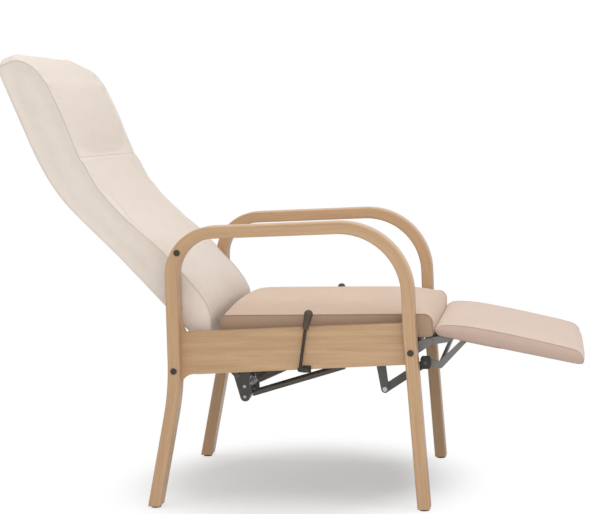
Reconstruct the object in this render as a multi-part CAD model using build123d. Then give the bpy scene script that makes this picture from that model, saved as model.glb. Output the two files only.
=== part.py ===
from build123d import *
import os
from math import atan2, cos, degrees, hypot, radians, sin, sqrt, tan

# Shared values: +X is the front of the chair, +Z is up, the floor is at Z = 0
overall_width = 610
soft_gap = 0.3
running_clearance = 0.05
screw_clearance = 0.1
overrun = 30

# Side frame: centre line of the bent strip, seen from the side
strip_thick = 28
strip_deep = 48
strip_edge_radius = 4
front_foot_x = 306
front_knee_x = 280.5
front_knee_z = 400
front_knee_radius = 600
front_corner_x = 276.5
front_corner_radius = 152
arm_front_z = 639.5
arm_rear_z = 627.5
rear_post_x = -253
rear_corner_radius = 99
rear_knee_z = 275
rear_knee_radius = 600
rear_foot_x = -310.5

# Foot glides
glide_radius = 11
glide_high = 6
glide_stem_radius = 3
glide_stem_long = 18

# Side rails between the legs
rail_thick = 22
rail_inset = 4
rail_rear_x = -238
rail_rear_top_z = 402.5
rail_rear_low_z = 307
rail_front_x = 270
rail_front_top_z = 421
rail_front_low_z = 328.5
rail_flare_long = 36
rail_flare_deep = 13
rail_ear_wide = 8
rail_ear_high = 54
flare_middle_shares = (0.32, 0.3)
dowel_radius = 4
dowel_in_leg = 8
dowel_in_rail = 24
dowel_height_shares = (0.2, 0.75)

# Frame bolts and the cross members that they hold
bolt_head_radius = 7.4
bolt_head_high = 1.8
bolt_head_edge = 0.8
bolt_socket_across = 6
bolt_socket_deep = 1.4
bolt_shank_radius = 4
bolt_bite = 30
corner_bolt_x = -237
corner_bolt_z = 585
corner_bolt_depth = 38
rear_bolt_z = 317
front_bolt_z = 357
cross_rail_thick = 20
cross_rail_high = 44
cross_nut_radius = 6
cross_nut_long = 20
cross_nut_back = 8
cross_tube_radius = 10
cross_tube_wall = 2
middle_rail_x = 123
middle_rail_thick = 22
middle_rail_high = 34

# Seat
seat_bottom_z = 384
pad_side_gap = 7
seat_rear_x = -156
seat_front_x = 331
seat_board_thick = 12
seat_board_inset = 5
seat_side_high = 41
seat_crown = 30
batten_wide = 24
batten_high = 22
batten_rear_x = -120
batten_front_x = 255

# Back: its local frame is at the pivot, Z up along the lower back and X to its front
pivot_x = -165
pivot_z = 366
back_lean = 42.7
back_rear_offset = -22.6
back_cover_thick = 3
back_cover_inset = 4
back_board_thick = 11
back_board_inset = 13
back_board_tail = 85
back_board_head_gap = 14
back_cushion_start = 24
back_cushion_thick = 65
back_crown = 24
bend_height = 546
bend_radius = 500
bend_angle = 21.5
head_height = 280
head_crown = 13
pivot_pin_radius = 6
pivot_pin_inset = 2
pivot_bush_radius = 9
pivot_flange_radius = 13
pivot_flange_thick = 1.5
back_arm_thick = 5
back_arm_boss = 16
back_arm_up = 150
back_arm_down = 78
back_arm_gusset_up = 18
back_arm_gusset_down = 40
pivot_plate_thick = 5
pivot_plate_radius = 26
spacer_radius = 10
spacer_gap = 0.4
spring_lever_side = 60
spring_lever_thick = 5
spring_lever_radius = 12
spring_lever_top = 5
spring_lever_tail = 80
spring_lever_foot = 22
spring_pin_forward = 28
gas_pin_drop = 123
damper_pin_drop = 148
spring_pin_radius = 4
spring_pin_end = 4
collar_radius = 7.5
collar_long = 5

# Gas spring and damper: both run forwards from pins in the spring levers
eye_radius = 11
eye_wide = 16
open_eye_clearance = 2.2
gas_side = 35
gas_front_x = 71
gas_front_z = 334
gas_radius = 14
gas_wall = 2.5
gas_body_start = 14
gas_body_end = 146
gas_rod_radius = 5
gas_rod_tail = 78
damper_side = -35
damper_front_x = 178
damper_front_z = 310
damper_radius = 8
damper_wall = 1.5
damper_body_start = 13
damper_body_end = 248
damper_rod_radius = 3
damper_rod_tail = 165
gland_long = 12
piston_long = 12
piston_clearance = 0.08
neck_long = 6
clevis_thick = 4
clevis_gap = 0.5
clevis_radius = 12
clevis_foot_thick = 4
clevis_foot_high = 28
clevis_foot_wide = 50
clevis_pin_end = 3

# Footrest: its local frame is at the hinge, X along the raised pad and Z up through it
hinge_x = 320
hinge_z = 374
footrest_drop = 11.8
footrest_fold = 91.2
footrest_start = 16
footrest_end = 341
footrest_underside = 17.7
footrest_board_thick = 10
footrest_board_inset = 5
footrest_side_high = 24
footrest_crown = 10
hinge_pin_radius = 4
hinge_pin_end = 1.5
hinge_boss_radius = 8
hinge_plate_thick = 5
hinge_rail_gap = 15
hinge_side_gap = 0.5
hinge_tube_boss = 14
hinge_arm_middle = 25
hinge_arm_long = 40
hinge_arm_radius = 5.5

# Buffers and stays under the footrest
stay_pivot_x = 312
stay_pivot_z = 328.5
stay_knee_forward = 31
stay_knee_drop = 8.5
stay_reach = 78
stay_block_gap = 6
stay_thick = 5
stay_radius = 7.5
stay_tip_radius = 5.5
stay_pin_radius = 4
stay_pin_end = 2
stay_bar_radius = 5
track_wall = 2
track_side_gap = 1.5
track_wall_high = 12
track_end_room = 14
track_slot_gap = 0.5
roller_radius = 6
roller_thick = 2
roller_gap = 0.3
elbow_x = 221
elbow_z = 270
strap_top_x = 210
strap_top_z = 345
strap_radius = 11
elbow_radius = 9
buffer_plate_thick = 5
buffer_block_long = 22
buffer_block_high = 27
buffer_block_in = 9.5
buffer_block_out = 5
buffer_block_edge = 5
elbow_bolt_radius = 5.5
elbow_bolt_high = 4
elbow_shank_radius = 4

# Release levers outside the side rails
lever_x = 49
lever_z = 317.5
lever_plate_thick = 3
lever_plate_wide = 18
lever_plate_low = 6.5
lever_plate_high = 16
lever_hub_radius = 5.5
lever_hub_thick = 5
lever_side_gap = 0.6
lever_pin_radius = 2.5
lever_pin_head = 4
lever_pin_head_high = 2
lever_foot_x = 33.5
lever_foot_z = 318.5
lever_foot_radius = 5.5
lever_rod_radius = 3.5
lever_rod_top_x = 48
lever_rod_top_drop = 3
grip_top_x = 56
grip_rise = 30
grip_low_radius = 6.3
grip_top_radius = 10
grip_overlap = 8

# Shape of each cushion: place along it, width, height and crown
seat_form_shares = (
    (0.0, 0.98, 0.5, 0.03),
    (0.012, 0.99, 0.68, 0.2),
    (0.035, 1.0, 0.88, 0.52),
    (0.06, 1.0, 0.96, 0.78),
    (0.09, 1.0, 1.0, 0.93),
    (0.16, 1.0, 1.0, 1.0),
    (0.42, 0.992, 1.0, 1.0),
    (0.72, 0.992, 1.0, 0.97),
    (0.88, 1.0, 0.98, 0.72),
    (0.945, 1.0, 0.93, 0.5),
    (0.982, 0.995, 0.78, 0.3),
    (1.0, 0.985, 0.52, 0.15),
)
back_form_shares = (
    (0.0, 0.97, 0.3, 0.02),
    (0.05, 0.99, 0.58, 0.05),
    (0.08, 1.0, 0.77, 0.12),
    (0.11, 1.0, 0.88, 0.28),
    (0.15, 1.0, 0.96, 0.5),
    (0.22, 1.0, 1.03, 0.8),
    (0.34, 0.992, 1.05, 1.0),
    (0.45, 0.99, 1.02, 1.0),
    (0.57, 0.99, 0.95, 1.0),
    (0.68, 0.99, 0.91, 1.0),
    (0.8, 0.992, 0.93, 0.9),
    (0.9, 0.992, 1.02, 0.7),
    (1.0, 0.992, 1.08, 0.45),
)
head_form_shares = (
    (0.0, 0.992, 1.08, 0.45),
    (0.1, 0.992, 1.15, 0.8),
    (0.25, 0.99, 1.18, 1.0),
    (0.45, 0.99, 1.2, 1.0),
    (0.62, 0.99, 1.16, 1.0),
    (0.735, 0.992, 1.12, 0.95),
    (0.825, 0.992, 1.03, 0.8),
    (0.9, 0.988, 0.88, 0.6),
    (0.96, 0.98, 0.68, 0.4),
    (1.0, 0.965, 0.42, 0.15),
)
footrest_form_shares = (
    (0.0, 0.985, 0.6, 0.1),
    (0.02, 1.0, 0.8, 0.35),
    (0.05, 1.0, 0.91, 0.6),
    (0.12, 1.0, 0.97, 0.85),
    (0.3, 0.994, 1.0, 1.0),
    (0.7, 0.994, 1.0, 1.0),
    (0.86, 1.0, 0.98, 0.9),
    (0.93, 1.0, 0.93, 0.7),
    (0.975, 1.0, 0.82, 0.45),
    (1.0, 0.98, 0.55, 0.15),
)
side_bulge_share = 0.016

# Sizes that follow from the ones above
frame_outer = overall_width / 2
frame_inner = frame_outer - strip_deep
rail_inner = frame_inner + rail_inset
rail_outer = rail_inner + rail_thick
seat_half_width = frame_inner - pad_side_gap
back_half_width = seat_half_width
footrest_half_width = seat_half_width
back_board_half_width = back_half_width - back_board_inset
hinge_plate_side = rail_inner - hinge_rail_gap - hinge_plate_thick
cross_nut_y = -frame_inner + bolt_bite - cross_nut_back
strip_half = strip_thick / 2
front_bolt_x = front_foot_x + (front_knee_x - front_foot_x) * front_bolt_z / front_knee_z
head_bend = radians(bend_angle)
bend_tangent = bend_radius * tan(head_bend / 2)
bend_start = bend_height - bend_tangent
bend_length = bend_radius * head_bend
bend_end = bend_start + bend_length
back_top = bend_end + head_height - bend_tangent
crease = (bend_start + bend_end) / 2
board_rear = back_rear_offset + back_cover_thick
board_front = board_rear + back_board_thick
cushion_out = board_front - back_rear_offset
seat_cushion_z = seat_bottom_z + seat_board_thick
batten_low_z = seat_bottom_z - batten_high
middle_rail_low_z = batten_low_z - middle_rail_high
spring_pin_x = pivot_x + spring_pin_forward
gas_pin_z = pivot_z - gas_pin_drop
damper_pin_z = pivot_z - damper_pin_drop
pivot_plate_inner = rail_inner - pivot_plate_thick
back_arm_outer = back_board_half_width + back_arm_thick
pad_base = footrest_underside + footrest_board_thick
track_line = pad_base - track_wall - roller_gap - roller_radius
buffer_arm_outer = rail_inner - buffer_plate_thick
buffer_arm_inner = buffer_arm_outer - buffer_plate_thick
buffer_block_inner = buffer_arm_inner - buffer_block_in
buffer_block_outer = buffer_arm_outer + buffer_block_out
stay_side = buffer_block_inner - stay_block_gap - stay_thick
stay_middle = stay_side + stay_thick / 2
track_half = stay_thick / 2 + roller_thick + track_side_gap + track_wall
hinge_arm_outer = hinge_plate_side - hinge_side_gap
lever_plate_outer = rail_outer + lever_plate_thick
lever_near = lever_plate_outer + lever_side_gap
lever_rod_side = lever_near + lever_rod_radius
rail_slope = (rail_front_top_z - rail_rear_top_z) / (rail_front_x - rail_rear_x)
rail_top_at_rod = rail_rear_top_z + rail_slope * (lever_rod_top_x - rail_rear_x)
rail_top_at_grip = rail_rear_top_z + rail_slope * (grip_top_x - rail_rear_x)
lever_rod_top_z = rail_top_at_rod - lever_rod_top_drop
grip_top_z = rail_top_at_grip + grip_rise


def slab(face, near, far):
    """A face drawn in X and Z, thickened from one value of Y to another."""
    return Pos(0, near, 0) * extrude(Plane.XZ * face, amount=far - near, dir=(0, 1, 0))


def disc(x, z, radius):
    """A circle drawn in X and Z."""
    return Pos(x, z) * Circle(radius)


def plate(left, right, low, high):
    """A rectangle drawn in X and Z between its four sides."""
    return Pos((left + right) / 2, (low + high) / 2) * Rectangle(right - left, high - low)


def pin(x, z, radius, near, far):
    """A round bar along Y."""
    return slab(disc(x, z, radius), near, far)


def link(*ends):
    """The outline of a flat link round circles, each given as x, z and radius."""
    rings = [disc(*end) for end in ends]
    return make_hull([edge for ring in rings for edge in ring.edges()])


def bar_x(radius, start, end):
    """A round bar along local X."""
    turned = Rot(0, 90, 0) * Cylinder(radius, end - start)
    return Pos((start + end) / 2, 0, 0) * turned


def other_side(solid):
    """The mirror image on the left-hand side of the chair."""
    return mirror(solid, about=Plane.XZ)


def both_sides(solids):
    """Right-hand pieces and their mirror images."""
    return solids + [other_side(solid) for solid in solids]


def in_back(solid):
    """From the back's local frame to its place in the chair, fully reclined."""
    return Pos(pivot_x, 0, pivot_z) * (Rot(0, -back_lean, 0) * solid)


def in_footrest(solid):
    """From the footrest's local frame to its place in the chair, raised."""
    return Pos(hinge_x, 0, hinge_z) * (Rot(0, footrest_drop, 0) * solid)


def pad_section(base, half_width, height, crown):
    """A padded section on a plane: flat below, bulged sides, crowned top."""
    seam = half_width * (1 - side_bulge_share)
    outline = [
        Line((-seam, 0), (seam, 0)),
        ThreePointArc((seam, 0), (half_width, height / 2), (seam, height)),
        ThreePointArc((seam, height), (0, height + crown), (-seam, height)),
        ThreePointArc((-seam, height), (-half_width, height / 2), (-seam, 0)),
    ]
    return base * make_face(outline)


def pad(shares, plane_at, half_width, height, crown):
    """A cushion lofted through the sections that its table of shares gives."""
    sections = []
    for along, width_share, height_share, crown_share in shares:
        sections.append(
            pad_section(
                plane_at(along),
                half_width * width_share,
                height * height_share,
                crown * crown_share,
            )
        )
    return loft(sections, ruled=True)


# Side frames, bolts and feet
def leg_x_at(foot_x, knee_x, knee_z, height):
    """Centre of a leg at a height below its knee."""
    return foot_x + (knee_x - foot_x) * height / knee_z


foot_places = [
    leg_x_at(front_foot_x, front_knee_x, front_knee_z, glide_high),
    leg_x_at(rear_foot_x, rear_post_x, rear_knee_z, glide_high),
]
through_bolt_depth = strip_deep + bolt_bite
bolt_places = [
    (corner_bolt_x, corner_bolt_z, corner_bolt_depth),
    (rear_post_x, rear_bolt_z, through_bolt_depth),
    (front_bolt_x, front_bolt_z, through_bolt_depth),
]


def dowel_places():
    """Both ends of each dowel between a side rail and the legs."""
    places = []
    for share in dowel_height_shares:
        rear_z = rail_rear_low_z + (rail_rear_top_z - rail_rear_low_z) * share
        front_z = rail_front_low_z + (rail_front_top_z - rail_front_low_z) * share
        rear_face = rear_post_x + strip_half
        front_face = leg_x_at(front_foot_x, front_knee_x, front_knee_z, front_z) - strip_half
        places.append((rear_face - dowel_in_leg, rear_face + dowel_in_rail, rear_z))
        places.append((front_face - dowel_in_rail, front_face + dowel_in_leg, front_z))
    return places


def make_dowels(extra):
    """The dowels of the right-hand rail, or their holes."""
    middle = -(rail_inner + rail_outer) / 2
    dowels = []
    for start, end, height in dowel_places():
        dowels.append(Pos(0, middle, height) * bar_x(dowel_radius + extra, start - extra, end + extra))
    return dowels


def make_glide(x, extra):
    """One foot glide with its stem, or the space that it needs."""
    foot = Cylinder(glide_radius, glide_high, align=(Align.CENTER, Align.CENTER, Align.MIN))
    stem_high = glide_high + glide_stem_long + extra
    stem = Cylinder(glide_stem_radius + extra, stem_high, align=(Align.CENTER, Align.CENTER, Align.MIN))
    middle = -(frame_outer + frame_inner) / 2
    return Pos(x, middle, 0) * (foot + stem)


def make_bolt(x, z, depth):
    """One socket-head bolt on the right-hand side."""
    head = pin(x, z, bolt_head_radius, -frame_outer - bolt_head_high, -frame_outer)
    outer_rim = head.faces().sort_by(Axis.Y)[0].edges()
    head = chamfer(outer_rim, bolt_head_edge)
    socket = Pos(x, z) * RegularPolygon(bolt_socket_across / 2, 6, major_radius=False)
    head -= slab(socket, -frame_outer - bolt_head_high, -frame_outer - bolt_head_high + bolt_socket_deep)
    return head + pin(x, z, bolt_shank_radius, -frame_outer, -frame_outer + depth)


def bent_strip():
    """The bent strip of one side, undrilled: front leg, arm and rear leg."""
    path = FilletPolyline(
        (front_foot_x, 0, 0),
        (front_knee_x, 0, front_knee_z),
        (front_corner_x, 0, arm_front_z),
        (rear_post_x, 0, arm_rear_z),
        (rear_post_x, 0, rear_knee_z),
        (rear_foot_x, 0, 0),
        radius=[front_knee_radius, front_corner_radius, rear_corner_radius, rear_knee_radius],
    )
    start = Plane(origin=path @ 0, x_dir=(0, 1, 0), z_dir=path % 0)
    section = start * RectangleRounded(strip_deep, strip_thick, strip_edge_radius)
    strip = Pos(0, strip_deep / 2 - frame_outer, 0) * sweep(section, path=path)
    floor_cut = plate(rear_foot_x - overrun, front_foot_x + overrun, -overrun, glide_high)
    return strip - slab(floor_cut, -frame_outer - overrun, -frame_inner + overrun)


def make_side_frame(frame):
    """The strip with its holes for bolts, glides and dowels."""
    for x, z, depth in bolt_places:
        radius = bolt_shank_radius + screw_clearance
        frame -= pin(x, z, radius, -frame_outer - overrun, -frame_outer + depth + screw_clearance)
    for x in foot_places:
        frame -= make_glide(x, screw_clearance)
    for hole in make_dowels(screw_clearance):
        frame -= hole
    return frame


def make_side_rail(strip):
    """The board between the legs, with small flares where it meets the rear leg."""
    rear_in = rail_rear_x - strip_half
    front_in = rail_front_x + strip_half
    flare_z = rail_rear_low_z - rail_flare_deep
    ear_z = rail_rear_top_z + rail_ear_high
    flare_x = rail_rear_x + rail_flare_long
    ear_x = rail_rear_x + rail_ear_wide
    along_share, rise_share = flare_middle_shares
    flare_middle = (
        rail_rear_x + rail_flare_long * along_share,
        rail_rear_low_z - rail_flare_deep * rise_share,
    )
    ear_middle = (
        rail_rear_x + rail_ear_wide * rise_share,
        rail_rear_top_z + rail_ear_high * along_share,
    )
    outline = [
        Line((rear_in, flare_z), (rail_rear_x, flare_z)),
        ThreePointArc((rail_rear_x, flare_z), flare_middle, (flare_x, rail_rear_low_z)),
        Line((flare_x, rail_rear_low_z), (front_in, rail_front_low_z)),
        Line((front_in, rail_front_low_z), (front_in, rail_front_top_z)),
        Line((front_in, rail_front_top_z), (ear_x, rail_rear_top_z)),
        ThreePointArc((ear_x, rail_rear_top_z), ear_middle, (rail_rear_x, ear_z)),
        Line((rail_rear_x, ear_z), (rear_in, ear_z)),
        Line((rear_in, ear_z), (rear_in, flare_z)),
    ]
    rail = slab(make_face(outline), -rail_outer, -rail_inner) - strip
    for hole in make_dowels(screw_clearance):
        rail -= hole
    return rail


def make_rear_cross_rail():
    """The rail between the rear legs, bored for the bolts and the cross nuts."""
    half_thick = cross_rail_thick / 2
    half_high = cross_rail_high / 2
    face = plate(
        rear_post_x - half_thick,
        rear_post_x + half_thick,
        rear_bolt_z - half_high,
        rear_bolt_z + half_high,
    )
    rail = slab(face, -frame_inner, frame_inner)
    bore = pin(
        rear_post_x,
        rear_bolt_z,
        bolt_shank_radius + screw_clearance,
        -frame_inner - overrun,
        -frame_inner + bolt_bite + screw_clearance,
    )
    well_high = half_high + cross_nut_long / 2 + screw_clearance
    well = Pos(rear_post_x, cross_nut_y, rear_bolt_z - half_high + well_high / 2) * Cylinder(
        cross_nut_radius + screw_clearance, well_high
    )
    for cut in both_sides([bore, well]):
        rail -= cut
    return rail


def make_cross_nut():
    """The upright round nut that a rear bolt screws into."""
    nut = Pos(rear_post_x, cross_nut_y, rear_bolt_z) * Cylinder(cross_nut_radius, cross_nut_long)
    hole = pin(
        rear_post_x,
        rear_bolt_z,
        bolt_shank_radius + screw_clearance,
        cross_nut_y - overrun,
        cross_nut_y + overrun,
    )
    return nut - hole


def make_cross_tube():
    """The tube between the front legs, with solid ends for the bolts."""
    tube = pin(front_bolt_x, front_bolt_z, cross_tube_radius, -frame_inner, frame_inner)
    plug_end = frame_inner - bolt_bite - cross_tube_radius
    tube -= pin(front_bolt_x, front_bolt_z, cross_tube_radius - cross_tube_wall, -plug_end, plug_end)
    bore = pin(
        front_bolt_x,
        front_bolt_z,
        bolt_shank_radius + screw_clearance,
        -frame_inner - overrun,
        -frame_inner + bolt_bite + screw_clearance,
    )
    for cut in both_sides([bore]):
        tube -= cut
    return tube


def make_middle_rail():
    """The rail under the seat that carries the spring clevises."""
    half_thick = middle_rail_thick / 2
    face = plate(
        middle_rail_x - half_thick, middle_rail_x + half_thick, middle_rail_low_z, batten_low_z
    )
    return slab(face, -rail_inner, rail_inner)


# Seat
def make_batten():
    face = plate(batten_rear_x, batten_front_x, batten_low_z, seat_bottom_z)
    return slab(face, -rail_inner, -rail_inner + batten_wide)


def make_seat_board():
    face = plate(
        seat_rear_x + seat_board_inset,
        seat_front_x - seat_board_inset,
        seat_bottom_z,
        seat_cushion_z,
    )
    half = seat_half_width - seat_board_inset
    return slab(face, -half, half)


def seat_plane(share):
    x = seat_rear_x + (seat_front_x - seat_rear_x) * share
    return Plane(origin=(x, 0, seat_cushion_z), x_dir=(0, 1, 0), z_dir=(1, 0, 0))


# Back
def back_point(along, out):
    """A point of the back: distance along its rear face, and distance in front of that face."""
    turn = min(max(along - bend_start, 0) / bend_radius, head_bend)
    reach = bend_radius - out
    straight = min(along, bend_start) if turn == 0 else bend_start
    beyond = max(along - bend_end, 0)
    x = back_rear_offset + bend_radius - reach * cos(turn) + beyond * sin(turn)
    z = straight + reach * sin(turn) + beyond * cos(turn)
    return x, z, turn


def back_shell(low, high, inner, outer, half_width):
    """A bent panel of the back between two distances in front of the rear face."""
    rear = [back_point(along, inner)[:2] for along in (low, bend_start, crease, bend_end, high)]
    front = [back_point(along, outer)[:2] for along in (high, bend_end, crease, bend_start, low)]
    outline = []
    for side in (rear, front):
        outline.append(Line(side[0], side[1]))
        outline.append(ThreePointArc(side[1], side[2], side[3]))
        outline.append(Line(side[3], side[4]))
    outline.append(Line(rear[-1], front[0]))
    outline.append(Line(front[-1], rear[0]))
    return in_back(slab(make_face(outline), -half_width, half_width))


def back_plane(along):
    x, z, turn = back_point(along, cushion_out)
    return Plane(origin=(x, 0, z), x_dir=(0, -1, 0), z_dir=(sin(turn), 0, cos(turn)))


def lower_back_plane(share):
    return back_plane(back_cushion_start + (crease - soft_gap - back_cushion_start) * share)


def head_plane(share):
    return back_plane(crease + soft_gap + (back_top - crease - soft_gap) * share)


def make_back_arm():
    """The steel arm on the edge of the back board that turns on the pivot pin."""
    gusset_x = (board_rear + board_front) / 2
    gusset_radius = back_board_thick / 2
    outline = plate(board_rear, board_front, -back_arm_down, back_arm_up)
    outline += link(
        (0, 0, back_arm_boss),
        (gusset_x, back_arm_gusset_up, gusset_radius),
        (gusset_x, -back_arm_gusset_down, gusset_radius),
    )
    outline -= Circle(pivot_bush_radius)
    return in_back(slab(outline, -back_arm_outer, -back_board_half_width))


def make_pivot_bush():
    """The flanged bush in a back arm."""
    flange = pin(0, 0, pivot_flange_radius, -back_arm_outer - pivot_flange_thick, -back_arm_outer)
    sleeve = pin(0, 0, pivot_bush_radius, -back_arm_outer, -back_board_half_width)
    bore = pin(0, 0, pivot_pin_radius + running_clearance, -frame_outer, 0)
    return in_back(flange + sleeve - bore)


def make_pivot_plate():
    """The plate on a side rail for the pivot pin, with a boss towards the back arm."""
    boss_end = -back_arm_outer - pivot_flange_thick - spacer_gap
    solid = pin(pivot_x, pivot_z, pivot_plate_radius, -rail_inner, -pivot_plate_inner)
    solid += pin(pivot_x, pivot_z, spacer_radius, -pivot_plate_inner, boss_end)
    return solid - pin(pivot_x, pivot_z, pivot_pin_radius + screw_clearance, -frame_outer, 0)


def back_local(x, z):
    """A point of the reclined chair in the back's local frame."""
    lean = radians(back_lean)
    run = x - pivot_x
    rise = z - pivot_z
    return run * cos(lean) + rise * sin(lean), rise * cos(lean) - run * sin(lean)


def make_spring_lever():
    """A plate under the back board that pushes the gas spring and the damper."""
    root = plate(board_rear - spring_lever_thick, board_rear, -spring_lever_tail, spring_lever_top)
    gas_x, gas_z = back_local(spring_pin_x, gas_pin_z)
    damper_x, damper_z = back_local(spring_pin_x, damper_pin_z)
    tips = disc(gas_x, gas_z, spring_lever_radius) + disc(damper_x, damper_z, spring_lever_radius)
    outline = make_hull(root.edges() + tips.edges())
    outline -= disc(gas_x, gas_z, spring_pin_radius)
    outline -= disc(damper_x, damper_z, spring_pin_radius)
    near = -spring_lever_side - spring_lever_thick
    foot = slab(root, near - spring_lever_foot, near)
    return in_back(slab(outline, near, -spring_lever_side) + foot)


def make_spring_pin(height):
    """A cross pin between the levers that a rear eye turns on."""
    end = spring_lever_side + spring_lever_thick + spring_pin_end
    return pin(spring_pin_x, height, spring_pin_radius, -end, end)


def make_collars(height, middle):
    """Two collars that hold a rear eye in place along its cross pin."""
    ring = disc(spring_pin_x, height, collar_radius)
    ring -= disc(spring_pin_x, height, spring_pin_radius + running_clearance)
    far = middle + eye_wide / 2 + clevis_gap
    near = middle - eye_wide / 2 - clevis_gap - collar_long
    return [slab(ring, far, far + collar_long), slab(ring, near, near + collar_long)]


# Gas spring and damper, each drawn along local X from its rear eye
def spring_place(front_x, front_z, rear_z, side):
    """Where a spring's local frame lies, and how long the spring is."""
    run = front_x - spring_pin_x
    rise = front_z - rear_z
    place = Pos(spring_pin_x, side, rear_z) * Rot(0, -degrees(atan2(rise, run)), 0)
    return place, hypot(run, rise)


def make_cylinder(radius, wall, start, end, rod_radius):
    """A cylinder with its rear eye, hollow for the piston."""
    eye = pin(0, 0, eye_radius, -eye_wide / 2, eye_wide / 2)
    neck = bar_x(radius / 2, 0, start + neck_long)
    body = bar_x(radius, start, end)
    hollow = bar_x(radius - wall, start + neck_long, end - gland_long)
    bore = bar_x(rod_radius + running_clearance, start + neck_long, end + overrun)
    hole = pin(0, 0, spring_pin_radius + running_clearance, -eye_wide, eye_wide)
    return eye + neck + body - hollow - bore - hole


def make_rod(rod_radius, cavity_radius, tail, length):
    """A rod with its piston and front eye."""
    eye = pin(length, 0, eye_radius, -eye_wide / 2, eye_wide / 2)
    rod = bar_x(rod_radius, tail, length)
    piston = bar_x(cavity_radius - piston_clearance, tail, tail + piston_long)
    hole = pin(length, 0, spring_pin_radius + open_eye_clearance, -eye_wide, eye_wide)
    return eye + rod + piston - hole


def make_clevis(front_x, front_z, side, face_x):
    """A fork with its foot on one face of the middle rail."""
    towards = 1 if front_x > face_x else -1
    foot_end = face_x + towards * clevis_foot_thick
    foot_low = middle_rail_low_z
    foot_face = plate(
        min(face_x, foot_end), max(face_x, foot_end), foot_low, foot_low + clevis_foot_high
    )
    outline = make_hull(foot_face.edges() + disc(front_x, front_z, clevis_radius).edges())
    outline -= disc(front_x, front_z, spring_pin_radius)
    inner = eye_wide / 2 + clevis_gap
    fork = slab(outline, side + inner, side + inner + clevis_thick)
    fork += slab(outline, side - inner - clevis_thick, side - inner)
    fork += slab(foot_face, side - clevis_foot_wide / 2, side + clevis_foot_wide / 2)
    return fork


def make_clevis_pin(front_x, front_z, side):
    end = eye_wide / 2 + clevis_gap + clevis_thick + clevis_pin_end
    return pin(front_x, front_z, spring_pin_radius, side - end, side + end)


# Footrest and its hinge
def make_footrest_board():
    face = plate(
        footrest_start + footrest_board_inset,
        footrest_end - footrest_board_inset,
        footrest_underside,
        pad_base,
    )
    half = footrest_half_width - footrest_board_inset
    board = slab(face, -half, half)
    start, end = channel_ends()
    slot = plate(start - track_slot_gap, end + track_slot_gap, -overrun, footrest_end)
    reach = track_half + track_slot_gap
    for cut in both_sides([slab(slot, -stay_middle - reach, -stay_middle + reach)]):
        board -= cut
    return in_footrest(board)


def footrest_plane(share):
    x = footrest_start + (footrest_end - footrest_start) * share
    return Plane(origin=(x, 0, pad_base), x_dir=(0, 1, 0), z_dir=(1, 0, 0))


def make_hinge_arm():
    """The moving half of a footrest hinge, under the board."""
    under = footrest_underside - hinge_arm_radius
    outline = link(
        (0, 0, hinge_boss_radius),
        (hinge_arm_middle, under, hinge_arm_radius),
        (hinge_arm_long, under, hinge_arm_radius),
    )
    outline -= Circle(hinge_pin_radius + running_clearance)
    return in_footrest(slab(outline, -hinge_arm_outer, -hinge_arm_outer + hinge_plate_thick))


def make_hinge_bracket():
    """The fixed half of a footrest hinge, on the front cross tube."""
    outline = link(
        (front_bolt_x, front_bolt_z, hinge_tube_boss), (hinge_x, hinge_z, hinge_boss_radius)
    )
    outline -= disc(front_bolt_x, front_bolt_z, cross_tube_radius)
    outline -= disc(hinge_x, hinge_z, hinge_pin_radius)
    return slab(outline, -hinge_plate_side - hinge_plate_thick, -hinge_plate_side)


def make_hinge_pin():
    inner = hinge_arm_outer - hinge_plate_thick - hinge_pin_end
    outer = hinge_plate_side + hinge_plate_thick + hinge_pin_end
    return pin(hinge_x, hinge_z, hinge_pin_radius, -outer, -inner)


# Stays: a bent bar on each side turns on the buffer and slides in a channel
def pad_axes(angle):
    """Directions along and through the footrest when its front points down by an angle."""
    turn = radians(angle)
    return (cos(turn), -sin(turn)), (sin(turn), cos(turn))


def stay_tip(reach, angle):
    """The roller centre at a reach along the channel."""
    (along_x, along_z), (out_x, out_z) = pad_axes(angle)
    x = hinge_x + reach * along_x + track_line * out_x
    z = hinge_z + reach * along_z + track_line * out_z
    return x, z


def folded_reach():
    """How far along the channel the roller lies when the footrest hangs."""
    tip_x, tip_z = stay_tip(stay_reach, footrest_drop)
    length = hypot(tip_x - stay_pivot_x, tip_z - stay_pivot_z)
    (along_x, along_z), (out_x, out_z) = pad_axes(footrest_drop + footrest_fold)
    run_x = stay_pivot_x - hinge_x
    run_z = stay_pivot_z - hinge_z
    along = run_x * along_x + run_z * along_z
    out = run_x * out_x + run_z * out_z
    return along + sqrt(length**2 - (track_line - out) ** 2)


stay_knee_x = stay_pivot_x + stay_knee_forward
stay_knee_z = stay_pivot_z - stay_knee_drop


def make_stay():
    tip_x, tip_z = stay_tip(stay_reach, footrest_drop)
    outline = link(
        (stay_pivot_x, stay_pivot_z, stay_radius), (stay_knee_x, stay_knee_z, stay_radius)
    )
    outline += link((stay_knee_x, stay_knee_z, stay_radius), (tip_x, tip_z, stay_tip_radius))
    outline -= disc(stay_pivot_x, stay_pivot_z, stay_pin_radius + running_clearance)
    return slab(outline, -stay_side - stay_thick, -stay_side)


def make_rollers():
    """The pair of small rollers at the tip of a stay."""
    tip_x, tip_z = stay_tip(stay_reach, footrest_drop)
    inner = pin(tip_x, tip_z, roller_radius, -stay_side, -stay_side + roller_thick)
    outer_end = -stay_side - stay_thick
    outer = pin(tip_x, tip_z, roller_radius, outer_end - roller_thick, outer_end)
    return [inner, outer]


def make_stay_bar():
    return pin(stay_knee_x, stay_knee_z, stay_bar_radius, -stay_side, stay_side)


def channel_ends():
    """Where the channels for the rollers start and end along the footrest."""
    return stay_reach - track_end_room, folded_reach() + track_end_room


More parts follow.
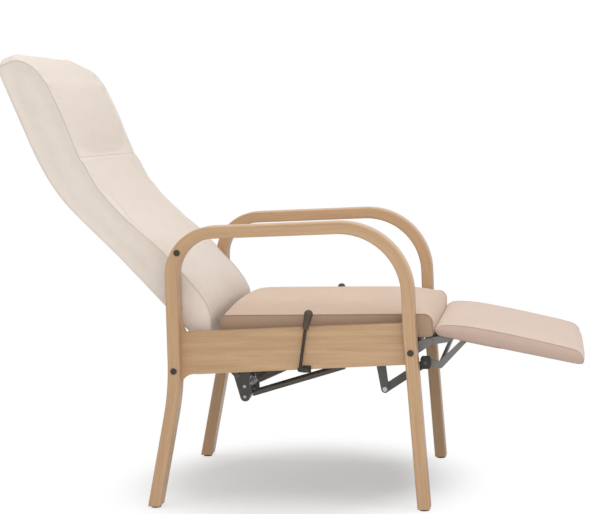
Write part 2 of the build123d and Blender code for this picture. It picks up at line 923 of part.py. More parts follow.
def make_channel():
    """The channel let into the footrest board that a stay's rollers run in."""
    start, end = channel_ends()
    web = plate(start, end, pad_base - track_wall, pad_base)
    wall = plate(start, end, pad_base - track_wall_high, pad_base)
    near = -stay_middle - track_half
    far = -stay_middle + track_half
    channel = slab(web, near, far)
    channel += slab(wall, near, near + track_wall)
    channel += slab(wall, far - track_wall, far)
    return in_footrest(channel)


# Buffers: a strap and an arm meet at the elbow and carry a rubber block
def make_buffer_strap():
    outline = link((strap_top_x, strap_top_z, strap_radius), (elbow_x, elbow_z, elbow_radius))
    outline -= disc(elbow_x, elbow_z, elbow_shank_radius + screw_clearance)
    return slab(outline, -rail_inner, -buffer_arm_outer)


def make_buffer_arm():
    outline = link((elbow_x, elbow_z, elbow_radius), (stay_pivot_x, stay_pivot_z, elbow_radius))
    outline -= disc(elbow_x, elbow_z, elbow_shank_radius + screw_clearance)
    outline -= disc(stay_pivot_x, stay_pivot_z, stay_pin_radius + screw_clearance)
    return slab(outline, -buffer_arm_outer, -buffer_arm_inner)


def make_buffer_block(arm):
    """The rubber block moulded round the end of a buffer arm."""
    outline = Pos(stay_pivot_x, stay_pivot_z) * RectangleRounded(
        buffer_block_long, buffer_block_high, buffer_block_edge
    )
    outline -= disc(stay_pivot_x, stay_pivot_z, stay_pin_radius + screw_clearance)
    return slab(outline, -buffer_block_outer, -buffer_block_inner) - arm


def make_elbow_bolt():
    head = pin(elbow_x, elbow_z, elbow_bolt_radius, -rail_inner - elbow_bolt_high, -rail_inner)
    nut = pin(
        elbow_x, elbow_z, elbow_bolt_radius, -buffer_arm_inner, -buffer_arm_inner + elbow_bolt_high
    )
    return head + nut + pin(elbow_x, elbow_z, elbow_shank_radius, -rail_inner, -buffer_arm_inner)


def make_stay_pin():
    outer = -buffer_block_outer
    inner = -stay_side + stay_pin_end
    return pin(stay_pivot_x, stay_pivot_z, stay_pin_radius, outer, inner)


# Release levers
def make_lever_plate():
    """A small plate on the rail's lower edge that carries the lever's pin."""
    half = lever_plate_wide / 2
    low = lever_z - lever_plate_low
    face = plate(lever_x - half, lever_x + half, low, low + lever_plate_high)
    face -= disc(lever_x, lever_z, lever_pin_radius + screw_clearance)
    return slab(face, -lever_plate_outer, -rail_outer)


def make_lever_pin():
    head_near = lever_near + lever_hub_thick + lever_side_gap
    head = pin(lever_x, lever_z, lever_pin_head, -head_near - lever_pin_head_high, -head_near)
    return head + pin(lever_x, lever_z, lever_pin_radius, -head_near, -rail_outer)


def make_lever_hub():
    """The flat end of a release lever, on its pin."""
    outline = link(
        (lever_x, lever_z, lever_hub_radius), (lever_foot_x, lever_foot_z, lever_foot_radius)
    )
    outline -= disc(lever_x, lever_z, lever_pin_radius + running_clearance)
    return slab(outline, -lever_near - lever_hub_thick, -lever_near)


def slanted(low_x, low_z, high_x, high_z, solid_of):
    """Place a solid that stands on local Z along a slanted line in the lever's plane."""
    run = high_x - low_x
    rise = high_z - low_z
    place = Pos(low_x, -lever_rod_side, low_z) * Rot(0, degrees(atan2(run, rise)), 0)
    return place * solid_of(hypot(run, rise))


def lever_rod_form(length):
    return Cylinder(lever_rod_radius, length, align=(Align.CENTER, Align.CENTER, Align.MIN))


def lever_grip_form(length):
    body = Cone(
        grip_low_radius,
        grip_top_radius,
        length,
        align=(Align.CENTER, Align.CENTER, Align.MIN),
    )
    return body + Pos(0, 0, length) * Sphere(grip_top_radius)


def lever_end_form(length):
    """The last part of the rod, inside the grip."""
    return lever_rod_form(min(length, grip_overlap))


def make_release_lever():
    """A release lever in one piece: hub and rod."""
    rod = slanted(lever_foot_x, lever_foot_z, lever_rod_top_x, lever_rod_top_z, lever_rod_form)
    end = slanted(lever_rod_top_x, lever_rod_top_z, grip_top_x, grip_top_z, lever_end_form)
    return make_lever_hub() + rod + end


def make_lever_grip():
    grip = slanted(lever_rod_top_x, lever_rod_top_z, grip_top_x, grip_top_z, lever_grip_form)
    return grip - make_release_lever()


gas_place, gas_length = spring_place(gas_front_x, gas_front_z, gas_pin_z, gas_side)
damper_place, damper_length = spring_place(
    damper_front_x, damper_front_z, damper_pin_z, damper_side
)
middle_rear_face = middle_rail_x - middle_rail_thick / 2
middle_front_face = middle_rail_x + middle_rail_thick / 2

strip = bent_strip()
buffer_arm = make_buffer_arm()
right_pieces = {
    "side_frame": make_side_frame(strip),
    "side_rail": make_side_rail(strip),
    "seat_batten": make_batten(),
    "back_pivot_plate": make_pivot_plate(),
    "buffer_strap": make_buffer_strap(),
    "buffer_arm": buffer_arm,
    "back_arm": make_back_arm(),
    "spring_lever": make_spring_lever(),
    "footrest_stay": make_stay(),
    "release_lever": make_release_lever(),
    "lever_grip": make_lever_grip(),
}

nodes = {}
for name, solid in right_pieces.items():
    nodes["right_" + name] = [solid]
    nodes["left_" + name] = [other_side(solid)]

nodes["frame_bolts"] = both_sides([make_bolt(*place) for place in bolt_places])
nodes["cross_nuts"] = both_sides([make_cross_nut()])
nodes["rail_dowels"] = both_sides(make_dowels(0))
nodes["foot_glides"] = both_sides([make_glide(x, 0) for x in foot_places])
nodes["rear_cross_rail"] = [make_rear_cross_rail()]
nodes["front_cross_tube"] = [make_cross_tube()]
nodes["middle_cross_rail"] = [make_middle_rail()]
nodes["seat_board"] = [make_seat_board()]
nodes["seat_cushion"] = [
    pad(seat_form_shares, seat_plane, seat_half_width, seat_side_high, seat_crown)
]
nodes["back_pivot_pins"] = both_sides(
    [pin(pivot_x, pivot_z, pivot_pin_radius, -rail_inner, -back_board_half_width + pivot_pin_inset)]
)
nodes["footrest_hinge_brackets"] = both_sides([make_hinge_bracket()])
nodes["footrest_hinge_arms"] = both_sides([make_hinge_arm()])
nodes["stay_channels"] = both_sides([make_channel()])
nodes["buffer_blocks"] = both_sides([make_buffer_block(buffer_arm)])
nodes["lever_plates"] = both_sides([make_lever_plate()])
nodes["footrest_hinge_pins"] = both_sides([make_hinge_pin()])
nodes["stay_pivot_pins"] = both_sides([make_stay_pin()])
nodes["elbow_bolts"] = both_sides([make_elbow_bolt()])
nodes["lever_pins"] = both_sides([make_lever_pin()])
nodes["gas_spring_clevis"] = [make_clevis(gas_front_x, gas_front_z, gas_side, middle_rear_face)]
nodes["damper_clevis"] = [
    make_clevis(damper_front_x, damper_front_z, damper_side, middle_front_face)
]
nodes["clevis_pins"] = [
    make_clevis_pin(gas_front_x, gas_front_z, gas_side),
    make_clevis_pin(damper_front_x, damper_front_z, damper_side),
]
nodes["back_board"] = [
    back_shell(
        -back_board_tail,
        back_top - back_board_head_gap,
        back_cover_thick,
        cushion_out,
        back_board_half_width,
    )
]
nodes["back_cover"] = [
    back_shell(
        back_cushion_start, back_top, 0, back_cover_thick, back_half_width - back_cover_inset
    )
]
nodes["back_cushion"] = [
    in_back(
        pad(back_form_shares, lower_back_plane, back_half_width, back_cushion_thick, back_crown)
    )
]
nodes["head_cushion"] = [
    in_back(pad(head_form_shares, head_plane, back_half_width, back_cushion_thick, head_crown))
]
nodes["pivot_bushes"] = both_sides([make_pivot_bush()])
nodes["spring_pins"] = [make_spring_pin(gas_pin_z), make_spring_pin(damper_pin_z)]
nodes["spring_pin_collars"] = make_collars(gas_pin_z, gas_side) + make_collars(
    damper_pin_z, damper_side
)
nodes["gas_cylinder"] = [
    gas_place * make_cylinder(gas_radius, gas_wall, gas_body_start, gas_body_end, gas_rod_radius)
]
nodes["gas_rod"] = [
    gas_place * make_rod(gas_rod_radius, gas_radius - gas_wall, gas_rod_tail, gas_length)
]
nodes["damper_cylinder"] = [
    damper_place
    * make_cylinder(
        damper_radius, damper_wall, damper_body_start, damper_body_end, damper_rod_radius
    )
]
nodes["damper_rod"] = [
    damper_place
    * make_rod(damper_rod_radius, damper_radius - damper_wall, damper_rod_tail, damper_length)
]
nodes["footrest_board"] = [make_footrest_board()]
nodes["footrest_cushion"] = [
    in_footrest(
        pad(
            footrest_form_shares,
            footrest_plane,
            footrest_half_width,
            footrest_side_high,
            footrest_crown,
        )
    )
]
nodes["stay_bar"] = [make_stay_bar()]
nodes["stay_rollers"] = both_sides(make_rollers())

# The origin lies on the floor under the middle of the whole chair
whole = Compound(children=[Compound(solids) for solids in nodes.values()]).bounding_box()
middle_x = (whole.min.X + whole.max.X) / 2

os.makedirs("parts", exist_ok=True)
for name, solids in nodes.items():
    moved = [solid for group in solids for solid in (Pos(-middle_x, 0, 0) * group).solids()]
    export_step(Compound(children=moved), os.path.join("parts", name + ".step"))
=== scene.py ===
import math

import bpy
from mathutils import Matrix, Vector


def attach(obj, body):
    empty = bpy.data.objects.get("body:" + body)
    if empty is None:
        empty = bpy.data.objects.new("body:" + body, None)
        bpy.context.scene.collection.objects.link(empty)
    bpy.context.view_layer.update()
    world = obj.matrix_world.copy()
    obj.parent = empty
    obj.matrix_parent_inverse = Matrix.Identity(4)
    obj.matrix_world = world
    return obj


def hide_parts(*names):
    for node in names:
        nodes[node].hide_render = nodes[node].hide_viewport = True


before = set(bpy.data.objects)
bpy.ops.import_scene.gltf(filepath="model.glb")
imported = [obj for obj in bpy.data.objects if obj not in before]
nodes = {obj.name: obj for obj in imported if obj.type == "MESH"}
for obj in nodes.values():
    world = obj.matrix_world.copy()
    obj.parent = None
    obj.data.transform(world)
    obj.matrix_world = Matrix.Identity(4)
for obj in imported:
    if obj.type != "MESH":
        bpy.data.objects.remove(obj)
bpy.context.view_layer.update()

# Sizes in metres. Heights are from the floor, and lengths are from the middle between the feet
FEET_MIDDLE_X = -0.004663

# Seat
SEAT_REAR = -0.1555
SEAT_FRONT = 0.3295
SEAT_LOW = 0.3835
SEAT_SEAM = 0.437
SEAT_HALF_WIDTH = 0.2475
SEAT_CROWN = 0.029
SEAT_SIDE_BULGE = 0.004
SEAT_FRONT_BULGE = 0.005
SEAT_CORNERS = (0.008, 0.010, 0.020, 0.015)
SEAT_FRONT_ROUND = 0.014
SEAT_CROWN_LINE = (
    (-0.156, 0.05),
    (-0.149, 0.42),
    (-0.140, 0.70),
    (-0.130, 0.87),
    (-0.115, 0.97),
    (-0.088, 1.0),
    (0.080, 0.99),
    (0.190, 0.95),
    (0.240, 0.90),
    (0.275, 0.80),
    (0.298, 0.60),
    (0.316, 0.28),
    (0.331, 0.00),
)

# Back, in its own frame: along its rear face from the pivot, and outwards from the pivot's line
PIVOT = Vector((-0.165, 0, 0.366))
BACK_LEAN = math.radians(42.7)
# The line that the bend is measured on, and the rear cover, both before the pivot's line
BACK_FACE = -0.0226
BACK_REAR = -0.0258
BACK_BEND_HEIGHT = 0.546
BACK_BEND_RADIUS = 0.500
BACK_BEND = math.radians(21.5)
BACK_HEAD = 0.280
BACK_RISE = 0.003
BACK_START = 0.022
BACK_HALF_WIDTH = 0.246
BACK_DEPTH = 0.090
BACK_SIDE_BULGE = 0.005
BACK_END_BULGE = 0.025
BACK_CORNERS = (0.007, 0.014, 0.048, 0.010)
# The crease under the head: its depth and half width, how much of the depth it has at the side seams,
# how much more in the middle, and how squarely the cover has to face the front to take part in it
CREASE_DEEP = 0.007
CREASE_WIDE = 0.011
CREASE_SIDE_SHARE = 0.35
CREASE_MIDDLE_SHARE = 0.65
CREASE_FACING = 0.9
# The filling doesn't move the low end, nor the cover beside the crease, and eases in above the end
BACK_HELD_BELOW = 0.075
BACK_EASED_OVER = 0.16
BACK_HELD_BY_CREASE = 0.006
# How far along, the depth from the rear face to the front seams, and the crown between the seams
BACK_LINE = (
    (0.022, 0.033, 0.000),
    (0.036, 0.043, 0.001),
    (0.050, 0.057, 0.003),
    (0.065, 0.0685, 0.006),
    (0.081, 0.075, 0.009),
    (0.102, 0.080, 0.013),
    (0.140, 0.084, 0.018),
    (0.200, 0.085, 0.021),
    (0.260, 0.0845, 0.021),
    (0.320, 0.0785, 0.021),
    (0.380, 0.0745, 0.020),
    (0.450, 0.0775, 0.017),
    (0.490, 0.084, 0.013),
    (0.523, 0.0885, 0.009),
    (0.545, 0.0895, 0.007),
    (0.575, 0.091, 0.009),
    (0.610, 0.0935, 0.012),
    (0.670, 0.095, 0.013),
    (0.717, 0.0925, 0.013),
    (0.750, 0.0895, 0.012),
    (0.785, 0.0805, 0.009),
    (0.810, 0.073, 0.006),
    (0.832, 0.069, 0.003),
)
# How far along, and how far the rear cover stands out there
BACK_REAR_LINE = (
    (0.022, -0.0020),
    (0.290, -0.0020),
    (0.360, 0.0003),
    (0.430, 0.0035),
    (0.510, 0.0042),
    (0.600, 0.0022),
    (0.700, 0.0036),
    (0.780, 0.0052),
    (0.832, 0.0052),
)

# Footrest, in its own frame: along the raised pad from the hinge
HINGE = Vector((0.320, 0, 0.374))
FOOTREST_DROP = math.radians(11.8)
FOOTREST_START = 0.016
FOOTREST_END = 0.342
FOOTREST_LOW = 0.0172
FOOTREST_HEIGHT = 0.0333
FOOTREST_HALF_WIDTH = 0.2475
FOOTREST_SIDE_BULGE = 0.003
FOOTREST_END_BULGE = 0.006
# How far the inner end reaches towards the seat, and how far the top seams lie in from the sides
FOOTREST_INNER_BULGE = 0.010
FOOTREST_TUCK = 0.010
FOOTREST_TUCK_POWER = 4
FOOTREST_CORNERS = (0.007, 0.010, 0.025, 0.018)
# How far along, the height from the underside to the side seams, and the crown between the seams
FOOTREST_LINE = (
    (0.016, 0.0230, 0.000),
    (0.030, 0.0260, 0.002),
    (0.055, 0.0303, 0.0055),
    (0.085, 0.0330, 0.008),
    (0.140, 0.0340, 0.009),
    (0.200, 0.0335, 0.009),
    (0.260, 0.0320, 0.0075),
    (0.300, 0.0305, 0.005),
    (0.325, 0.0285, 0.0025),
    (0.342, 0.0270, 0.001),
)
# Room for the stay channels in the underside of the footrest
CHANNEL_START = 0.062
CHANNEL_END = 0.1615
CHANNEL_NEAR = 0.2245
CHANNEL_FAR = 0.2415
CHANNEL_TOP = 0.028
# Half the thickness of a channel's wall, and the share of the pad around it without other stations
WALL_STEP = 0.0004
STATION_GAP = 0.004

# Pads: grid steps along, across and up, the grid's axes, the slots of the finishes, and the name of
# the map that lays the cloth out flat
SEAT_GRID = (66, 66, 8)
FOOTREST_GRID = (46, 66, 6)
BACK_GRID = (112, 62, 10)
ALONG = 0
ACROSS = 1
UPWARDS = 2
TOP_SLOT = 0
SIDE_SLOT = 1
LINING_SLOT = 2
PANEL_MAP = "panel"
# How X and Z add to the length along a top panel, whether it is level or slanted
PANEL_RUN_X = 0.8
PANEL_RUN_Z = -0.6
# A length that is as good as none, but can be divided by
TINY = 1e-9
# The share of a side over which its bulge rises, and where an end's bulge lies in its height
SIDE_RISE_SHARE = 0.05
END_LOW_SHARE = 0.15
END_HIGH_SHARE = 0.75
# How full the domes over the width are next to the sides
PLAIN_DOME = 2.6
BACK_DOME = 2.8
END_DOME = 4
HEAD_DOME = 8
# Filling: its pressure, and how far it may move the cover
SEAT_FILLING = (3.0, 0.007)
FOOTREST_FILLING = (3.0, 0.005)
BACK_FILLING = (2.6, 0.007)
FILLING_FRAMES = 20
COVER_QUALITY = 6
COVER_MASS = 0.25
COVER_STRETCH = 18
COVER_SHEAR = 6
COVER_BENDING = 0.6
# Seams
SEAM_RADIUS = 0.0007
SEAM_ROUNDNESS = 2
SEAM_STEP = 0.006

# Bent side frames: the strip's centre line
STRIP_THICK = 0.028
STRIP_LAYERS = 8
REAR_POST_X = -0.253
REAR_KNEE_Z = 0.275
REAR_FOOT_X = -0.3105
REAR_CORNER_RADIUS = 0.099
ARM_REAR_Z = 0.6275
ARM_FRONT_Z = 0.6395
FRONT_CORNER_X = 0.2765
FRONT_CORNER_RADIUS = 0.152
FRONT_KNEE_X = 0.2805
FRONT_KNEE_Z = 0.400
FRONT_FOOT_X = 0.306

# Struts under the seat: their rear and front eyes, the bare neck and the edge of its lacquer
GAS_REAR = (-0.137, 0.243)
GAS_FRONT = (0.071, 0.334)
DAMPER_REAR = (-0.137, 0.218)
DAMPER_FRONT = (0.178, 0.310)
STRUT_NECK = 0.0142
NECK_EDGE = 0.001

# Camera
CAMERA_PLACE = Vector((0.5874, -3.7582, 0.8648))
CAMERA_YAW = math.radians(9.147)
CAMERA_PITCH = math.radians(4.770)
CAMERA_ROLL = math.radians(-1.467)
CAMERA_FOCUS = 1584.1
PHOTO_WIDTH = 590
SENSOR_WIDTH = 36

# Colours, linear
BEECH_LIGHT = (0.510, 0.330, 0.182, 1)
BEECH_DARK = (0.412, 0.249, 0.128, 1)
SEAT_FABRIC = (0.63, 0.478, 0.368, 1)
# Seat side panels: the seat cloth darkened, a painted shade for the shadow that the arms and rails
# cast on the sides
SEAT_SIDE_SHADED_FABRIC = (0.402, 0.275, 0.190, 1)
BACK_FABRIC = (0.72, 0.630, 0.555, 1)
# Back side panels: the back cloth made lighter, a painted light on the sides
BACK_SIDE_LIT_FABRIC = (0.76, 0.675, 0.600, 1)
FOOTREST_FABRIC = (0.66, 0.515, 0.430, 1)
# Footrest side panels: the footrest cloth darkened, a painted shade on the sides
FOOTREST_SIDE_SHADED_FABRIC = (0.490, 0.360, 0.297, 1)
SEAT_THREAD = (0.42, 0.300, 0.225, 1)
BACK_THREAD = (0.64, 0.550, 0.475, 1)
FOOTREST_THREAD = (0.56, 0.430, 0.360, 1)
DARK_LINING = (0.050, 0.045, 0.042, 1)
FLECK_BROWN = (0.36, 0.21, 0.12, 1)
LAYER_BROWN = (0.52, 0.32, 0.185, 1)
GLUE_BROWN = (0.34, 0.20, 0.115, 1)
BRONZE = (0.050, 0.040, 0.030, 1)
LEVER_BROWN = (0.024, 0.018, 0.011, 1)
BLACK_COAT = (0.050, 0.046, 0.040, 1)
BRACKET_GREY = (0.165, 0.160, 0.152, 1)
CHANNEL_BEIGE = (0.52, 0.40, 0.33, 1)
BOARD_BROWN = (0.11, 0.095, 0.085, 1)
STRUT_LACQUER = (0.080, 0.071, 0.058, 1)
STRUT_WORN = (0.16, 0.15, 0.13, 1)
BARE_ZINC = (0.50, 0.50, 0.51, 1)
PLATED_ZINC = (0.46, 0.46, 0.47, 1)
POLISHED_STEEL = (0.62, 0.62, 0.64, 1)
GRIP_BROWN = (0.060, 0.042, 0.027, 1)
GLIDE_BLACK = (0.045, 0.040, 0.036, 1)
BUSH_CREAM = (0.62, 0.60, 0.56, 1)
RUBBER_BLACK = (0.018, 0.019, 0.019, 1)
SHEEN_TINT = (1.0, 0.96, 0.92, 1)
WHITE = (1, 1, 1, 1)
FLOOR_COLOUR = (0.96, 0.96, 0.96, 1)
FLOOR_SHADE = 0.985

# Beech: features per metre along and across the grain, with the noise's detail and roughness
STREAKS = (5, 90, 3.0, 0.55)
BROAD_BANDS = (1.6, 14, 2.0, 0.5)
FINE_GRAIN = (40, 900, 2.0, 0.6)
FLECKS = (300, 1500, 0.0, 0.5)
# Shares of the streaks, bands and fine grain in its tone
STREAK_SHARE = 0.45
BAND_SHARE = 0.3
FINE_SHARE = 0.25
FLECK_STRENGTH = 0.22
# Laminated beech: how far the grain shifts from one layer to the next, a start for the layers'
# tints, and where between the middle and the edge of a layer its glue line begins
LAYER_SHIFT = 0.31
LAYER_SEED = 7.3
LAYER_STRENGTH = 0.30
GLUE_START = 0.455
GLUE_STRENGTH = 0.35

# Woven cover: the pitch of the threads, slubs per metre along and across a thread, and how far
# they push the weave aside
THREAD_PITCH = 0.0011
SLUB_ALONG = 60
SLUB_ACROSS = 900
SLUB_OTHER_PLACE = 5
SLUB_PUSH = 2.2
# Its darkest and lightest shade, and the shares in its tone and in its relief
WEAVE_DARK = 0.86
WEAVE_LIGHT = 1.06
TONE_WEAVE = 0.22
TONE_MOTTLE = 0.5
TONE_CLOUD = 0.35
TONE_SLUB = 0.25
RELIEF_WEAVE = 0.5
RELIEF_SLUB = 0.8
RELIEF_MOTTLE = 0.9
RELIEF_SOFT = 7
# Lining and thread
DOT_PITCH = 0.0032
TWIST_PER_METRE = 5200
THREAD_DARK = 0.78

# Floor and light
FLOOR_REACH = 14
WORLD_LIGHT = 0.62
SHADOW_MIDDLE_X = -0.03
SHADOW_HALF_LONG = 0.40
SHADOW_HALF_WIDE = 0.48
FADE_START = 0.55
FADE_END = 1.2
FLOOR_GLOW = 0.25
# Lamps: name, place, target, size and power
LAMPS = (
    ("overhead", (0.1, -0.4, 3.2), (0, 0, 0.3), 3.0, 50),
    ("front_fill", (0.8, -3.6, 1.5), (0, 0, 0.35), 2.4, 26),
    ("side_fill", (3.2, -1.8, 1.6), (0, 0, 0.4), 2.0, 14),
)


class Value:
    """A number that changes over a surface, with the usual arithmetic."""

    def __init__(self, finish, socket):
        self.finish = finish
        self.socket = socket

    def __add__(self, other):
        return self.finish.maths("ADD", self, other)

    __radd__ = __add__

    def __sub__(self, other):
        return self.finish.maths("SUBTRACT", self, other)

    def __rsub__(self, other):
        return self.finish.maths("SUBTRACT", other, self)

    def __mul__(self, other):
        return self.finish.maths("MULTIPLY", self, other)

    __rmul__ = __mul__

    def __truediv__(self, other):
        return self.finish.maths("DIVIDE", self, other)

    def __lt__(self, other):
        return self.finish.maths("LESS_THAN", self, other)

    def __gt__(self, other):
        return self.finish.maths("GREATER_THAN", self, other)


class Finish:
    """A material and the nodes that make it."""

    def __init__(self, name):
        self.material = bpy.data.materials.new(name)
        self.material.use_nodes = True
        self.tree = self.material.node_tree
        self.tree.nodes.clear()
        self.shader = self.node("ShaderNodeBsdfPrincipled")
        self.end = self.node("ShaderNodeOutputMaterial", values={"Surface": self.shader.outputs[0]})

    @classmethod
    def of_tree(cls, tree):
        """The same helpers on the nodes of something that isn't a material."""
        finish = cls.__new__(cls)
        finish.tree = tree
        tree.nodes.clear()
        return finish

    def output(self, socket):
        """Feeds the output from another shader than the plain one."""
        self.feed(self.end.inputs["Surface"], socket)

    def node(self, kind, settings=None, values=None):
        """Adds one node: its settings first, then the values or links of its sockets."""
        made = self.tree.nodes.new(kind)
        for key, setting in (settings or {}).items():
            setattr(made, key, setting)
        for key, value in (values or {}).items():
            self.feed(made.inputs[key], value)
        return made

    def feed(self, socket, value):
        if isinstance(value, Value):
            value = value.socket
        if isinstance(value, bpy.types.NodeSocket):
            self.tree.links.new(value, socket)
        else:
            socket.default_value = value

    def set(self, **values):
        """Feeds the shader's own sockets, named in lower case with underscores."""
        for name, value in values.items():
            label = name.replace("_", " ").title().replace("Ior", "IOR")
            self.feed(self.shader.inputs[label], value)

    def maths(self, operation, *values):
        made = self.node("ShaderNodeMath", {"operation": operation}, dict(enumerate(values)))
        return Value(self, made.outputs[0])

    def mix(self, factor, first, second):
        """Mixes two colours."""
        made = self.node(
            "ShaderNodeMix",
            {"data_type": "RGBA", "blend_type": "MIX", "clamp_factor": True},
            {0: factor, 6: first, 7: second},
        )
        return made.outputs[2]

    def place(self):
        """The place on the piece at rest, as three values in metres."""
        here = self.node("ShaderNodeTexCoord").outputs["Object"]
        parts = self.node("ShaderNodeSeparateXYZ", values={0: here})
        return [Value(self, socket) for socket in parts.outputs]

    def cloth_place(self):
        """The place on a sewn panel, as two values in metres."""
        here = self.node("ShaderNodeUVMap", {"uv_map": PANEL_MAP}).outputs[0]
        parts = self.node("ShaderNodeSeparateXYZ", values={0: here})
        return [Value(self, socket) for socket in parts.outputs[:2]]

    def vector(self, x, y, z):
        return self.node("ShaderNodeCombineXYZ", values={0: x, 1: y, 2: z}).outputs[0]

    def noise(self, place, detail=2.0, roughness=0.5):
        """Noise between 0 and 1 with features about one unit of the given place across."""
        made = self.node(
            "ShaderNodeTexNoise",
            values={"Vector": place, "Scale": 1.0, "Detail": detail, "Roughness": roughness},
        )
        return Value(self, made.outputs[0])

    def speckle(self, place, per_metre, detail=2.0, roughness=0.5):
        """Noise with as many features per metre in every direction."""
        return self.noise(self.vector(*[way * per_metre for way in place]), detail, roughness)

    def between(self, value, low, high):
        """Rises smoothly from 0 at low to 1 at high."""
        made = self.node(
            "ShaderNodeMapRange",
            {"interpolation_type": "SMOOTHSTEP"},
            {"Value": value, "From Min": low, "From Max": high, "To Min": 0.0, "To Max": 1.0},
        )
        return Value(self, made.outputs[0])

    def bump(self, height, strength, distance):
        made = self.node(
            "ShaderNodeBump", values={"Strength": strength, "Distance": distance, "Height": height}
        )
        return made.outputs[0]


def shaded(colour, share, lift=0.0):
    """A darker or lighter form of a colour."""
    return tuple(min(1.0, channel * share + lift) for channel in colour[:3]) + (1,)


def beech_grain(finish, along, across, deep):
    """Beech: soft streaks along the grain, short dark flecks and open pores, under satin lacquer."""

    def grain(per_metre_along, per_metre_across, detail, roughness):
        place = finish.vector(
            along * per_metre_along, across * per_metre_across, deep * per_metre_across
        )
        return finish.noise(place, detail, roughness)

    fine = grain(*FINE_GRAIN)
    fleck = finish.between(grain(*FLECKS), 0.66, 0.74)
    tone = STREAK_SHARE * grain(*STREAKS) + BAND_SHARE * grain(*BROAD_BANDS) + FINE_SHARE * fine
    colour = finish.mix(finish.between(tone, 0.36, 0.64), BEECH_DARK, BEECH_LIGHT)
    colour = finish.mix(fleck * FLECK_STRENGTH, colour, FLECK_BROWN)
    relief = fine * 0.5 - fleck * 0.5
    finish.set(
        base_color=colour,
        roughness=0.36 + 0.12 * fine,
        specular_ior_level=0.42,
        coat_weight=0.25,
        coat_roughness=0.28,
        normal=finish.bump(relief, strength=0.18, distance=0.0003),
    )
    return colour


def straight_beech(name, axis):
    """Beech for a straight board, with its grain along X or Y."""
    finish = Finish(name)
    x, y, z = finish.place()
    along, deep = (x, y) if axis == "X" else (y, x)
    beech_grain(finish, along, z, deep)
    return finish.material


def follow_strip(finish, x, z):
    """How far along the strip of a side frame, and how deep from its centre line outwards."""
    arm_rise = (ARM_FRONT_Z - ARM_REAR_Z) / (FRONT_CORNER_X - REAR_POST_X)
    rear_centre_x = REAR_POST_X + REAR_CORNER_RADIUS
    rear_centre_z = ARM_REAR_Z - REAR_CORNER_RADIUS * (1 - arm_rise)
    front_centre_x = FRONT_CORNER_X - FRONT_CORNER_RADIUS
    front_centre_z = ARM_FRONT_Z - FRONT_CORNER_RADIUS * (1 + arm_rise)
    rear_splay = (REAR_POST_X - REAR_FOOT_X) / REAR_KNEE_Z
    front_splay = (FRONT_FOOT_X - FRONT_KNEE_X) / FRONT_KNEE_Z
    upper_splay = (FRONT_KNEE_X - FRONT_CORNER_X) / (ARM_FRONT_Z - FRONT_KNEE_Z)

    def corner(centre_x, centre_z, radius, turn):
        """Depth through the strip and distance along it, on a corner's arc."""
        off_x = (x - centre_x) * turn
        off_z = z - centre_z
        reach = finish.maths("SQRT", off_x * off_x + off_z * off_z)
        angle = finish.maths("ARCTAN2", off_x, off_z)
        return reach - radius, angle * radius

    rear_depth, rear_along = corner(rear_centre_x, rear_centre_z, REAR_CORNER_RADIUS, -1)
    front_depth, front_along = corner(front_centre_x, front_centre_z, FRONT_CORNER_RADIUS, 1)
    arm_depth = z - (ARM_REAR_Z + arm_rise * (x - REAR_POST_X))
    rear_leg_depth = (REAR_POST_X - rear_splay * finish.maths("MAXIMUM", REAR_KNEE_Z - z, 0)) - x
    front_leg_depth = x - (
        FRONT_KNEE_X
        + front_splay * finish.maths("MAXIMUM", FRONT_KNEE_Z - z, 0)
        - upper_splay * finish.maths("MAXIMUM", z - FRONT_KNEE_Z, 0)
    )
    behind = x < rear_centre_x
    ahead = x > front_centre_x
    above_rear = z > rear_centre_z
    above_front = z > front_centre_z
    rear_depth = rear_leg_depth + (rear_depth - rear_leg_depth) * above_rear
    front_depth = front_leg_depth + (front_depth - front_leg_depth) * above_front
    rear_leg_line = z + (rear_centre_x - rear_centre_z - REAR_CORNER_RADIUS * math.pi / 2)
    front_leg_line = (front_centre_x + front_centre_z + FRONT_CORNER_RADIUS * math.pi / 2) - z
    rear_line = rear_leg_line + (rear_centre_x - rear_along - rear_leg_line) * above_rear
    front_line = front_leg_line + (front_centre_x + front_along - front_leg_line) * above_front
    depth = arm_depth + (rear_depth - arm_depth) * behind + (front_depth - arm_depth) * ahead
    along = x + (rear_line - x) * behind + (front_line - x) * ahead
    return along, depth


def bent_beech():
    """Beech for the side frames: thin layers glued together, whose grain follows the bends."""
    finish = Finish("laminated_beech")
    x, y, z = finish.place()
    along, depth = follow_strip(finish, x - FEET_MIDDLE_X, z)
    layer_place = (depth + STRIP_THICK / 2) * (STRIP_LAYERS / STRIP_THICK)
    layer = finish.maths("FLOOR", layer_place)
    within = finish.maths("FRACT", layer_place)
    scatter = finish.node(
        "ShaderNodeTexWhiteNoise", {"noise_dimensions": "1D"}, {"W": layer + LAYER_SEED}
    )
    tint = finish.between(Value(finish, scatter.outputs[0]), 0.0, 1.0)
    joint = finish.between(finish.maths("ABSOLUTE", within - 0.5), GLUE_START, 0.5)
    colour = beech_grain(finish, along, depth, y + LAYER_SHIFT * layer)
    colour = finish.mix(tint * LAYER_STRENGTH, colour, LAYER_BROWN)
    colour = finish.mix(joint * GLUE_STRENGTH, colour, GLUE_BROWN)
    finish.set(base_color=colour)
    return finish.material


